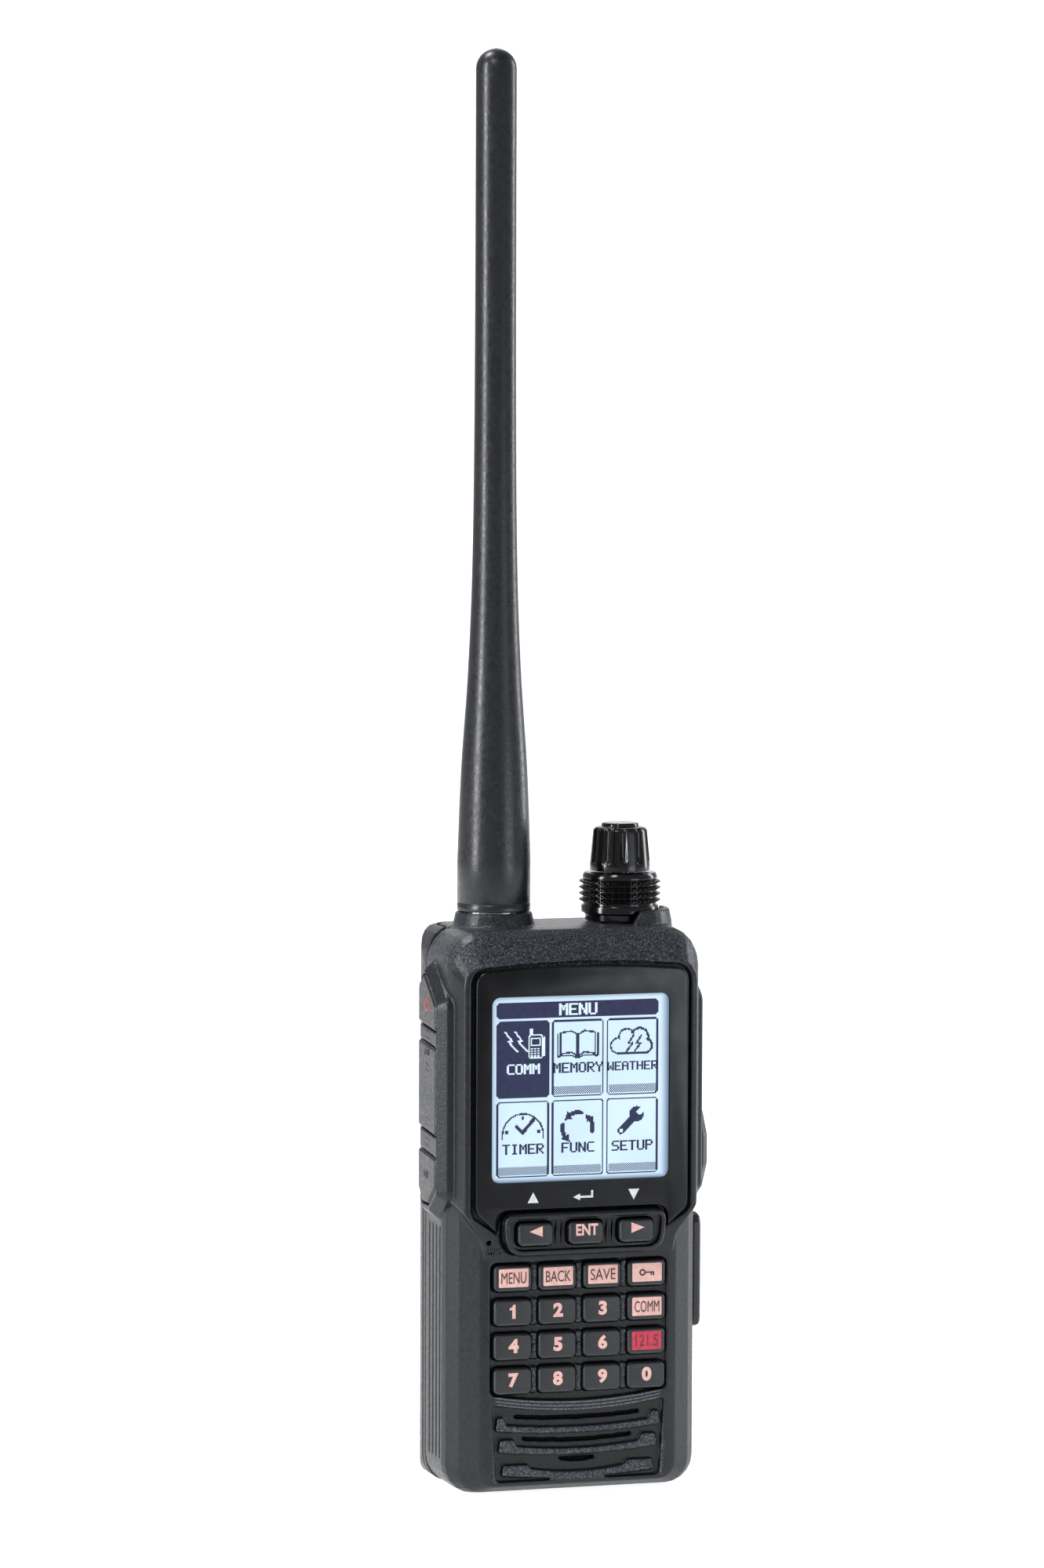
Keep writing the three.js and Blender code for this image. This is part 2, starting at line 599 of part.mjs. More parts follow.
function encoderNut() {
  return cut(solid(rod(6.2, 133.2, 135.2, 6, TOP.knobX, TOP.y)), rod(4.5, 132, 136, 24, TOP.knobX, TOP.y));
}

function volumeKnob() {
  // A tapered body with finger flutes, a stepped cap, and a slot that marks its position.
  const { knobX: x, y } = TOP;
  const start = THREE.MathUtils.degToRad(KNOB.turn);
  const reach = 7.5;
  const profile = [
    [0, 145.2], [7.1, 145.2], [7.15, 146.4], [6.4, 154.8],
    [5.3, 155.5], [4.5, 155.7], [4.3, 156.5], [0, 156.5],
  ];
  let made = solid(turned(profile, 40, x, y));
  for (let i = 0; i < KNOB.flutes; i++) {
    const turn = start + ((i + 0.5) * 2 * Math.PI) / KNOB.flutes;
    made = cut(made, rod(1.05, 146.6, 157, 8, x + reach * Math.sin(turn), y - reach * Math.cos(turn)));
  }
  const slot = block(-0.3, -8, 146.6, 0.3, -3.5, 157).rotateZ(start).translate(x, y, 0);
  return cut(made, slot, rod(2.2, 144, 152.4, 20, x, y));
}

function dialRing() {
  // Four rows of knurling between two flanges. The inside clears the nut, and the hub grips the sleeve.
  const { knobX: x, y } = TOP;
  const rows = 4;
  const low = 137.5;
  const pitch = 1.45;
  const teeth = Array.from({ length: rows }, (_, i) => [
    [8.8, low + i * pitch], [9.75, low + (i + 0.5) * pitch],
  ]).flat();
  const high = low + rows * pitch;
  const profile = [
    [3.2, 141.2], [7.2, 141.2], [7.2, 133.4], [8.2, 133.4], [8.3, 135.0], [9.2, 135.3], [9.2, 137.1],
    ...teeth, [8.8, high], [8.85, high + 0.4], [8.4, 144.8], [3.2, 144.8], [3.2, 141.2],
  ];
  return turned(profile, 40, x, y);
}

function dialSleeve() {
  return cut(solid(rod(3.0, 125, 144.4, 20, TOP.knobX, TOP.y)), rod(2.35, 124, 146, 20, TOP.knobX, TOP.y));
}

const volumeShaft = () => rod(2.0, 123, 152, 20, TOP.knobX, TOP.y);

function antennaJack() {
  const { antennaX: x, y } = TOP;
  return turned(
    [
      [0, 122], [3.4, 122], [3.4, 125], [4.8, 125], [4.8, 128.4],
      [7, 128.4], [7, 130.7], [4.8, 130.7], [4.8, 133.2], [7, 133.2],
      [7, 134.4], [4.6, 134.4], [4.6, 144], [2.6, 144], [2.6, 138.2], [0, 138.2],
    ],
    24,
    x,
    y,
  );
}

function antennaPlug() {
  const { antennaX: x, y } = TOP;
  return turned(
    [[0, 139], [0.7, 139], [0.7, 145.6], [5.4, 145.6], [5.4, 134.8], [7.2, 134.8], [7.2, 148], [0, 148]],
    24,
    x,
    y,
  );
}

function antennaJacket() {
  // A straight boot, a long smooth taper and a round tip, hollow for the plug and the core.
  const boot = [[8.65, 148], [7.8, 170], [6.2, 194], [5.25, 221], [4.88, 263], [4.78, 333.6]];
  const taper = new THREE.SplineCurve(boot.map(([r, z]) => new THREE.Vector2(r, z))).getPoints(13);
  const dome = new THREE.QuadraticBezierCurve(
    new THREE.Vector2(4.78, 333.6),
    new THREE.Vector2(4.75, 338.1),
    new THREE.Vector2(1.2, 338.3),
  ).getPoints(4).slice(1);
  const outside = [...taper, ...dome].map((p) => [p.x, p.y]);
  const inside = [[0, 331], [2.2, 331], [2.2, 148.3], [7.5, 148.3], [7.5, 136.4]];
  const profile = [...inside, [8.5, 136.4], [8.65, 136.8], ...outside, [0, 338.35]];
  return turned(profile, 24, TOP.antennaX, TOP.y);
}

const antennaCore = () => rod(1.9, 148.6, 329, 12, TOP.antennaX, TOP.y);

// ---------------------------------------------------------------- jacks, covers and small hardware

function audioJack() {
  return cut(
    solid(block(21, -7.4, 70, 30.4, 2.6, 87.9)),
    rodX(1.8, 22.5, 31, -2.4, 82.8, 16),
    rodX(1.3, 22.5, 31, -2.4, 73.6, 16),
  );
}

function dcJack() {
  const socket = cut(solid(block(21, -7.4, 45.2, 29.9, 1.6, 54.6)), rodX(2.8, 23, 31, -2.9, 49.9, 20));
  return socket.add(solid(rodX(0.75, 22.5, 29.4, -2.9, 49.9, 10)));
}

const audioCover = () => alongX(audioCoverOutline, 31, 34.4, { chamfer: 1.5, steps: 2 });
const dcCover = () => alongX(dcCoverOutline, 30.7, 33.2, { chamfer: 0.6, steps: 2 });

// A pan-head screw along Y, its head towards +Y.
function screw(x, z, tip, seat, radius, rise) {
  const profile = [
    [0, tip], [0.7, tip], [1.2, tip + 0.9], [1.2, seat], [radius, seat],
    [radius, seat + rise * 0.6], [radius * 0.7, seat + rise], [0, seat + rise],
  ];
  return turned(profile, 14).rotateX(-Math.PI / 2).translate(x, 0, z);
}

// ---------------------------------------------------------------- battery and belt clip

function batteryHousing() {
  const made = common(
    alongY(caseOutline(), BATTERY.front, DEPTH.back, { steps: 6 }),
    alongZ(backSection(BATTERY.front), 0, BATTERY.top, { steps: 5 }),
  );
  return cut(
    made,
    block(-28.5, 8, 12, 28.5, 15.9, 84.6),
    block(-3.4, 8, 4.6, 3.4, 18, 9.8),
    block(-9.3, 16.4, 3.4, 9.3, 18, 13.8),
    rodY(1.5, 15, 18, -SCREWS.clipX, SCREWS.clipZ, 12),
    rodY(1.5, 15, 18, SCREWS.clipX, SCREWS.clipZ, 12),
  );
}

function batteryLatch() {
  const plate = solid(alongY(rectangle(-8.6, 4, 8.6, 11, 1.5), 16.6, 18.2, { chamfer: 0.3, steps: 2 }));
  const ridges = [6, 7.5, 9].map((z) => block(-6, 18, z - 0.3, 6, 18.7, z + 0.3));
  return plate.add(join(...ridges)).add(solid(block(-3, 6.9, 5, 3, 16.8, 7.2)));
}

function clipBracket() {
  const plate = solid(alongY(rectangle(-12.6, 61.5, 12.6, 82.5, 2), 17.8, 19.3, { steps: 2 }));
  const { y, z } = CLIP;
  const earOutline = [[18.5, z - 4], [y, z - 3.4, 1.5], [25, z, 1.5], [y, z + 3.4, 1.5], [18.5, z + 4]];
  const ear = (x0, x1) => alongX(earOutline, x0, x1, { steps: 2 });
  const made = plate.add(solid(ear(-12.6, -10.8))).add(solid(ear(10.8, 12.6)));
  const holes = [-SCREWS.clipX, SCREWS.clipX].map((x) => rodY(1.5, 17, 20, x, SCREWS.clipZ, 12));
  return cut(made, rodX(1.3, -14, 14, y, z), ...holes);
}

const clipPin = () => rodX(1.2, -12.4, 12.4, CLIP.y, CLIP.z, 12);

function beltClip() {
  const { y, z, half, low } = CLIP;
  const tongue = alongX(
    [
      [22.8, z], [22.9, 34, 6], [19.5, 26.5, 2], [22.6, low, 0.5], [23.9, low + 0.9, 0.5],
      [21.4, 26.6, 1.5], [24.6, 33.6, 6], [24.7, z], [24.2, 91, 0.7], [22.7, 91, 0.7],
    ],
    -half,
    half,
    { steps: 3 },
  );
  const barrel = rodX(2.6, -half, half, y, z, 18);
  return cut(join(tongue, barrel), rodX(1.5, -half - 1, half + 1, y, z, 14));
}

// ---------------------------------------------------------------- the assembly

add("front_case", "case", frontCase());
add("rear_case", "chassis", rearCase());
add("display_lens", "lens", alongY(lensOutline(), LENS.front, LENS.back, { steps: 5 }));
add("lcd_module", "screen", block(-25, -15, 70, 25, -12.7, 121));
add("lcd_backlight", "screen", block(-24, -12.4, 71, 24, -9.8, 120));
add("nav_bezel", "case", navBezel());
add("main_board", "board", mainBoard());
add("rf_shield", "metal", rfShield());
add("keypad_mat", "rubber", keypadMat());
add("speaker", "dark_metal", speaker());
add("speaker_mesh", "rubber", alongY(rectangle(-19, 4.3, 19, 21.8, 1), -13.5, -13.1));
add("microphone", "dark_metal", rodY(1.9, -11.4, -9.7, -21.9, 60.2));
add("encoder", "dark_metal", encoder());
add("encoder_nut", "metal", encoderNut());
add("antenna_jack", "metal", antennaJack());
add("audio_jack", "dark_metal", audioJack());
add("dc_jack", "dark_metal", dcJack());
add("contact_block", "dark_metal", block(-7.5, 5, 27, 7.5, 8.3, 33));
add("case_screw_left", "metal", screw(-SCREWS.caseX, SCREWS.caseZ, 0, 16.1, 2.3, 1.1));
add("case_screw_right", "metal", screw(SCREWS.caseX, SCREWS.caseZ, 0, 16.1, 2.3, 1.1));

add("antenna_jacket", "rubber", antennaJacket());
add("antenna_core", "dark_metal", antennaCore());
add("antenna_plug", "metal", antennaPlug());

add("volume_knob", "glossy", volumeKnob());
add("volume_shaft", "metal", volumeShaft());
add("dial_ring", "glossy", dialRing());
add("dial_sleeve", "metal", dialSleeve());

KEY_ROWS.forEach((z, row) =>
  KEY_COLUMNS.forEach((x, column) => {
    const name = KEY_NAMES[row][column];
    const labelled = row === 0 || name === "key_comm";
    const material = name === "key_emergency" ? "emergency" : labelled ? "labelled" : "key";
    const { front, back } = KEY_DEPTH;
    const cap = alongY(keyOutline(KEYPAD.key, 0, 0), front, back, { chamfer: 0.35, steps: 2 });
    add(name, material, cap).position.set(x, 0, z);
  }),
);
["nav_left", "nav_enter", "nav_right"].forEach((name, i) => {
  const [front, back] = [NAV_DEPTH.front - GAP, KEY_DEPTH.back];
  const cap = alongY(keyOutline(NAV.key, 0, 0), front, back, { chamfer: 0.35, steps: 2 });
  add(name, "key", cap).position.set(navColumns[i], 0, NAV.z);
});
for (const [name, corners] of Object.entries(SIDE_KEYS)) {
  add(name, "rubber", alongX(corners, -33.8, -31.4, { chamfer: 0.5, steps: 2 }));
}

add("audio_jack_cover", "rubber", audioCover());
add("dc_jack_cover", "rubber", dcCover());

add("battery_housing", "case", batteryHousing());
add("battery_cover", "chassis", block(-28.2, 8.7, 12.3, 28.2, 9.8, 84.3));
add("battery_cells", "cell", alongY(rectangle(-27.4, 20, 27.4, 83.6, 2), 10.1, 15.6));
add("battery_latch", "rubber", batteryLatch());
add("clip_bracket", "dark_metal", clipBracket());
add("clip_pin", "metal", clipPin());
add("clip_screw_left", "metal", screw(-SCREWS.clipX, SCREWS.clipZ, 16.2, 19.5, 2.3, 1.2));
add("clip_screw_right", "metal", screw(SCREWS.clipX, SCREWS.clipZ, 16.2, 19.5, 2.3, 1.2));
add("belt_clip", "case", beltClip());

export default radio;
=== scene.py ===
import math

import bmesh
import bpy
from mathutils import Matrix, Vector


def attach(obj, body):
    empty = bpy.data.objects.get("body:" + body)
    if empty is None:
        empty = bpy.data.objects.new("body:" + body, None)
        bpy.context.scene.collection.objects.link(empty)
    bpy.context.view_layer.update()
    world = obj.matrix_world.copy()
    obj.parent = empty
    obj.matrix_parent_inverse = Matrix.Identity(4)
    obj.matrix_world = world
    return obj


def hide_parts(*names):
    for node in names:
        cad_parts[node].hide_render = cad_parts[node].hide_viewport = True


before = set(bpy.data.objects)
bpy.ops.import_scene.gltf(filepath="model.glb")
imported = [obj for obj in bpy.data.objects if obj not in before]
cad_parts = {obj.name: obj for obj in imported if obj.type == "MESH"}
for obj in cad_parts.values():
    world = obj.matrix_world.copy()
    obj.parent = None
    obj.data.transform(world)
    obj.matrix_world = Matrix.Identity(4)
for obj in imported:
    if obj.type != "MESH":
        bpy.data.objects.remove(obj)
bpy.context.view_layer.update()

MM = 0.001

# ---------------------------------------------------------------- camera, floor and lights

CAMERA_PLACE = (-0.44152, -1.39864, 0.28062)
CAMERA_YAW, CAMERA_DIP, CAMERA_ROLL = (math.radians(v) for v in (17.165, 4.468, 0.205))
CAMERA_LENS = 143.266  # mm, on a sensor 36 mm tall
AIM = Vector((0, 0, 0.13))


def make_camera():
    ahead = Vector((
        math.sin(CAMERA_YAW) * math.cos(CAMERA_DIP),
        math.cos(CAMERA_YAW) * math.cos(CAMERA_DIP),
        -math.sin(CAMERA_DIP),
    ))
    right = Vector((math.cos(CAMERA_YAW), -math.sin(CAMERA_YAW), 0))
    up = right.cross(ahead)
    turned_right = math.cos(CAMERA_ROLL) * right + math.sin(CAMERA_ROLL) * up
    turned_up = -math.sin(CAMERA_ROLL) * right + math.cos(CAMERA_ROLL) * up
    place = Matrix((turned_right, turned_up, -ahead)).transposed().to_4x4()
    place.translation = Vector(CAMERA_PLACE)
    data = bpy.data.cameras.new("camera")
    data.sensor_width = 36
    data.lens = CAMERA_LENS
    camera = bpy.data.objects.new("camera", data)
    camera.matrix_world = place
    bpy.context.scene.collection.objects.link(camera)
    bpy.context.scene.camera = camera


def area_light(name, place, power, width, height, colour=(1, 1, 1), aim=AIM):
    data = bpy.data.lights.new(name, "AREA")
    data.shape = "RECTANGLE"
    data.size, data.size_y = width, height
    data.energy = power
    data.color = colour
    light = bpy.data.objects.new(name, data)
    light.location = place
    light.rotation_euler = (aim - Vector(place)).to_track_quat("-Z", "Y").to_euler()
    light.visible_camera = False
    bpy.context.scene.collection.objects.link(light)


def make_stage():
    """A pale round floor that curves up into a wall on all sides. Behind the object it glows, fading to each
    side: a painted pool of light.
    """
    flat, bend, wall, steps = 2.7, 0.9, 4.5, 14
    profile = [(0.02, 0.0), (0.5, 0.0), (1.4, 0.0), (flat, 0.0)]
    for i in range(1, steps + 1):
        turn = i / steps * math.pi / 2
        profile.append((flat + bend * math.sin(turn), bend * (1 - math.cos(turn))))
    profile.append((flat + bend, wall))
    around, clearance = 72, 0.0002  # the floor lies just below the feet
    points, faces = [], []
    for radius, z in profile:
        points += [(radius * c, radius * s, z - clearance) for c, s in circle(around)]
    for ring in range(len(profile) - 1):
        for i in range(around):
            j = (i + 1) % around
            faces.append(
                (ring * around + i, ring * around + j, (ring + 1) * around + j, (ring + 1) * around + i)
            )
    faces.append(tuple(range(around)))
    mesh = bpy.data.meshes.new("floor")
    mesh.from_pydata(points, [], faces)
    mesh.polygons.foreach_set("use_smooth", [True] * len(faces))
    outward(mesh)
    floor = bpy.data.objects.new("floor", mesh)
    bpy.context.scene.collection.objects.link(floor)
    material, shader, nodes, links = new_material("floor_paper_painted_glow", (0.82, 0.83, 0.84), 0.8, specular=0.2)
    tint(material, (0.55, 0.56, 0.57), (0.59, 0.595, 0.60), 3)
    turned = nodes.new("ShaderNodeMapping")
    turned.inputs["Rotation"].default_value = (0, 0, math.radians(17))
    links.new(coordinates(nodes), turned.inputs["Vector"])
    axes = nodes.new("ShaderNodeSeparateXYZ")
    links.new(turned.outputs[0], axes.inputs[0])
    aside = combine(material, "ABSOLUTE", axes.outputs[0], 0.0)
    # Painted light: where the floor glows, in metres from the object, behind it and out to each side.
    glow_start, glow_full, glow_half, glow_edge = -0.32, -0.08, 0.65, 1.7  # metres from the object
    behind = spread(material, axes.outputs[1], glow_start, glow_full, 0.0, 1.0)
    painted_glow = combine(material, "MULTIPLY", behind, spread(material, aside, glow_half, glow_edge, 1.0, 0.0))
    shader.inputs["Emission Color"].default_value = (0.98, 0.99, 1, 1)
    # The floor's glow is painted light: strength 0.10 away from the pool, 0.92 in it.
    links.new(spread(material, painted_glow, 0.0, 1.0, 0.10, 0.92, False), shader.inputs["Emission Strength"])
    mesh.materials.append(material)


# ---------------------------------------------------------------- materials

MATERIALS = {}


def new_material(name, colour, roughness, metallic=0.0, specular=0.5):
    material = bpy.data.materials.new(name)
    material.use_nodes = True
    nodes, links = material.node_tree.nodes, material.node_tree.links
    shader = nodes["Principled BSDF"]
    shader.inputs["Base Color"].default_value = (*colour, 1)
    shader.inputs["Roughness"].default_value = roughness
    shader.inputs["Metallic"].default_value = metallic
    shader.inputs["Specular IOR Level"].default_value = specular
    material.diffuse_color = (*colour, 1)
    MATERIALS[name] = material
    return material, shader, nodes, links


def coordinates(nodes):
    found = nodes.get("place")
    if found is None:
        found = nodes.new("ShaderNodeTexCoord")
        found.name = "place"
    return found.outputs["Object"]


def noise(material, scale, detail=2.0, rough=0.5):
    nodes, links = material.node_tree.nodes, material.node_tree.links
    made = nodes.new("ShaderNodeTexNoise")
    made.inputs["Scale"].default_value = scale
    made.inputs["Detail"].default_value = detail
    made.inputs["Roughness"].default_value = rough
    links.new(coordinates(nodes), made.inputs["Vector"])
    return made.outputs["Fac"]


def ramp(material, value, low, high, at=(0.35, 0.65)):
    """Runs from one colour to another as a value rises."""
    nodes, links = material.node_tree.nodes, material.node_tree.links
    made = nodes.new("ShaderNodeValToRGB")
    made.color_ramp.elements[0].position, made.color_ramp.elements[1].position = at
    made.color_ramp.elements[0].color = (*low, 1)
    made.color_ramp.elements[1].color = (*high, 1)
    links.new(value, made.inputs["Fac"])
    return made.outputs["Color"]


def spread(material, value, start, end, low, high, smooth=True):
    """Maps a value's range start..end to low..high."""
    nodes, links = material.node_tree.nodes, material.node_tree.links
    made = nodes.new("ShaderNodeMapRange")
    made.interpolation_type = "SMOOTHSTEP" if smooth else "LINEAR"
    for key, number in (("From Min", start), ("From Max", end), ("To Min", low), ("To Max", high)):
        made.inputs[key].default_value = number
    links.new(value, made.inputs["Value"])
    return made.outputs["Result"]


def combine(material, operation, a, b):
    nodes, links = material.node_tree.nodes, material.node_tree.links
    made = nodes.new("ShaderNodeMath")
    made.operation = operation
    for socket, value in zip(made.inputs, (a, b)):
        if isinstance(value, (int, float)):
            socket.default_value = value
        else:
            links.new(value, socket)
    return made.outputs[0]


def mixed(material, factor, a, b):
    nodes, links = material.node_tree.nodes, material.node_tree.links
    made = nodes.new("ShaderNodeMix")
    made.data_type = "RGBA"
    links.new(factor, made.inputs[0])
    for socket, value in ((made.inputs[6], a), (made.inputs[7], b)):
        if isinstance(value, tuple):
            socket.default_value = (*value, 1)
        else:
            links.new(value, socket)
    return made.outputs[2]


def tint(material, low, high, scale, at=(0.35, 0.65)):
    shader = material.node_tree.nodes["Principled BSDF"]
    colour = ramp(material, noise(material, scale, 3), low, high, at)
    material.node_tree.links.new(colour, shader.inputs["Base Color"])
    return colour


def paint_edge_highlight(material, colour, edge, amount=1.0):
    """Painted edge highlight: sharp edges a little paler than the rest, broken up by noise."""
    nodes, links = material.node_tree.nodes, material.node_tree.links
    shape = nodes.new("ShaderNodeNewGeometry")
    edge_highlight_mask = spread(material, shape.outputs["Pointiness"], 0.52, 0.62, 0.0, amount)
    broken = combine(
        material, "MULTIPLY", edge_highlight_mask, spread(material, noise(material, 260, 4), 0.3, 0.7, 0.35, 1)
    )
    result = mixed(material, broken, colour, edge)
    links.new(result, nodes["Principled BSDF"].inputs["Base Color"])
    return result


def grain(material, height, depth, strength=1.0):
    nodes, links = material.node_tree.nodes, material.node_tree.links
    bump = nodes.new("ShaderNodeBump")
    bump.inputs["Strength"].default_value = strength
    bump.inputs["Distance"].default_value = depth
    links.new(height, bump.inputs["Height"])
    links.new(bump.outputs["Normal"], nodes["Principled BSDF"].inputs["Normal"])
    return bump


def leather(material, scale):
    """Fine moulded leather grain: rounded cells broken by noise."""
    nodes, links = material.node_tree.nodes, material.node_tree.links
    cells = nodes.new("ShaderNodeTexVoronoi")
    cells.feature = "SMOOTH_F1"
    cells.inputs["Scale"].default_value = scale
    cells.inputs["Smoothness"].default_value = 0.6
    links.new(coordinates(nodes), cells.inputs["Vector"])
    return combine(material, "SUBTRACT", noise(material, scale * 1.6, 3), cells.outputs["Distance"])


def case_plastic():
    """Charcoal plastic. The brow, grille bars and webs have a rough grain, painted far paler than the rest: a
    painted highlight on real grain. Recesses get painted shade, a darker colour.
    """
    material, shader, nodes, links = new_material(
        "moulded_case", (0.014, 0.016, 0.020), 0.42, specular=0.34
    )
    axes = nodes.new("ShaderNodeSeparateXYZ")
    links.new(coordinates(nodes), axes.inputs[0])
    x, y, z = axes.outputs
    aside = combine(material, "ABSOLUTE", x, 0)
    brow = combine(
        material, "MULTIPLY",
        spread(material, z, 0.1235, 0.1252, 0, 1),
        spread(material, z, 0.1330, 0.1336, 1, 0.35),
    )
    panel = combine(
        material, "MULTIPLY",
        spread(material, aside, 0.0208, 0.0212, 1, 0),
        spread(material, z, 0.0550, 0.0556, 1, 0),
    )
    panel = combine(material, "MULTIPLY", panel, spread(material, z, 0.0030, 0.0036, 0, 1))
    strip = combine(
        material, "MULTIPLY",
        spread(material, z, 0.0190, 0.0198, 0, 1),
        spread(material, z, 0.0242, 0.0250, 1, 0),
    )
    proud = combine(material, "MULTIPLY", panel, spread(material, y, -0.0156, -0.0152, 1, 0))
    proud = combine(material, "MULTIPLY", proud, combine(material, "SUBTRACT", 1.0, strip))
    # Painted shade: the sunken floors inside the keypad and grille panel get a darker colour where shadow
    # falls.
    sunk = combine(material, "MULTIPLY", panel, spread(material, y, -0.0158, -0.0150, 0, 1))
    # Where the grain stands proud: it gets a real bump and a painted highlight.
    coarse_grain_and_highlight = combine(material, "MAXIMUM", brow, proud)

    fine = ramp(material, noise(material, 900, 4), (0.0055, 0.0068, 0.0088), (0.0105, 0.0126, 0.0158))
    cloudy = mixed(
        material, spread(material, noise(material, 45, 2), 0.4, 0.7, 0, 0.35), fine, (0.007, 0.0082, 0.011)
    )
    # Painted highlight: pale speckle on the brow, grille bars and webs, far paler than the body.
    grain_highlight = ramp(
        material, noise(material, 2300, 2, 0.7), (0.010, 0.0115, 0.015), (0.115, 0.125, 0.145), (0.46, 0.72)
    )
    colour = mixed(material, coarse_grain_and_highlight, cloudy, grain_highlight)
    # Painted shade on the sunken floors.
    colour = mixed(material, sunk, colour, (0.004, 0.0045, 0.0055))
    # Painted edge highlight on the case's sharp edges.
    paint_edge_highlight(material, colour, (0.040, 0.045, 0.054), 0.7)
    rough = spread(material, noise(material, 1400, 3), 0.3, 0.7, 0.30, 0.42)
    links.new(rough, shader.inputs["Roughness"])
    depth = combine(material, "MULTIPLY", leather(material, 1500), 0.38)
    depth = combine(material, "ADD", depth, combine(material, "MULTIPLY", coarse_grain_and_highlight, noise(material, 2100, 2)))
    grain(material, depth, 0.00008, 0.7)
    return material


def simple_plastic(name, low, high, roughness, scale, depth, edge=None, specular=0.5):
    material, shader, nodes, links = new_material(name, high, roughness, specular=specular)
    colour = tint(material, low, high, scale)
    if edge:
        # Painted edge highlight, if an edge colour is given.
        paint_edge_highlight(material, colour, edge)
    rough = spread(
        material, noise(material, scale * 0.7, 3), 0.3, 0.7, roughness * 0.85, min(1, roughness * 1.2)
    )
    links.new(rough, shader.inputs["Roughness"])
    grain(material, leather(material, scale * 1.3), depth, 0.8)
    return material


def glossy(name, low, high, roughness, depth=0.00001, specular=0.4):
    material, shader, nodes, links = new_material(name, high, roughness, specular=specular)
    tint(material, low, high, 300)
    rough = spread(material, noise(material, 160, 4), 0.3, 0.7, roughness * 0.8, roughness * 1.3)
    links.new(rough, shader.inputs["Roughness"])
    grain(material, noise(material, 500, 2), depth, 0.25)
    return material


def metal(name, low, high, roughness):
    scale = 900
    material, shader, nodes, links = new_material(name, high, roughness, metallic=1.0)
    colour = tint(material, low, high, scale)
    # Painted edge highlight on the metal's sharp edges.
    paint_edge_highlight(material, colour, tuple(min(1, c * 1.4) for c in high))
    rough = spread(material, noise(material, scale, 4), 0.3, 0.7, roughness * 0.8, roughness * 1.35)
    links.new(rough, shader.inputs["Roughness"])
    grain(material, noise(material, scale * 2, 2), 0.00002, 0.4)
    return material


def ink(name, low, high, roughness=0.55, glow=0.0):
    """Printed or moulded-in legends, with a slight unevenness."""
    material, shader, nodes, links = new_material(name, high, roughness)
    tint(material, low, high, 900)
    grain(material, noise(material, 2600, 2), 0.00003, 0.5)
    if glow:
        shader.inputs["Emission Color"].default_value = (*high, 1)
        shader.inputs["Emission Strength"].default_value = glow
    return material


def screen_glass():
    """The display, glowing with its backlight: pale blue, darker blue round its edges, most to the right and
    along the bottom. That darker edge is painted shade from the window's rim, with the backlight fading too.
    """
    material, shader, nodes, links = new_material("display_glow", (0.42, 0.54, 0.64), 0.3)
    axes = nodes.new("ShaderNodeSeparateXYZ")
    links.new(coordinates(nodes), axes.inputs[0])
    x, _, z = axes.outputs
    right = spread(material, x, 0.0188, 0.0214, 0, 1)
    foot = spread(material, z, 0.0758, 0.0743, 0, 0.8)
    head = spread(material, z, 0.1168, 0.1180, 0, 0.3)
    left = spread(material, x, -0.0211, -0.0222, 0, 0.3)
    # Painted shade: the display darkens towards its edges, most at the right and the bottom.
    margin_shade = combine(
        material, "MAXIMUM", combine(material, "MAXIMUM", right, foot),
        combine(material, "MAXIMUM", head, left)
    )
    cell = ramp(material, noise(material, 60, 2), (0.40, 0.52, 0.63), (0.44, 0.56, 0.66))
    colour = mixed(material, margin_shade, cell, (0.075, 0.125, 0.20))
    links.new(colour, shader.inputs["Base Color"])
    links.new(colour, shader.inputs["Emission Color"])
    shader.inputs["Emission Strength"].default_value = 0.5
    grain(material, noise(material, 3000, 1), 0.00001, 0.2)
    return material


def perforated():
    """Woven black speaker cloth."""
    material, shader, nodes, links = new_material("speaker_cloth", (0.004, 0.004, 0.004), 0.9, specular=0.1)
    checks = nodes.new("ShaderNodeTexVoronoi")
    checks.inputs["Scale"].default_value = 1700
    checks.inputs["Randomness"].default_value = 0.15
    links.new(coordinates(nodes), checks.inputs["Vector"])
    colour = ramp(
        material, checks.outputs["Distance"], (0.008, 0.008, 0.009), (0.0008, 0.0008, 0.0008), (0.2, 0.55)
    )
    links.new(colour, shader.inputs["Base Color"])
    grain(material, checks.outputs["Distance"], 0.0001, 1)
    return material


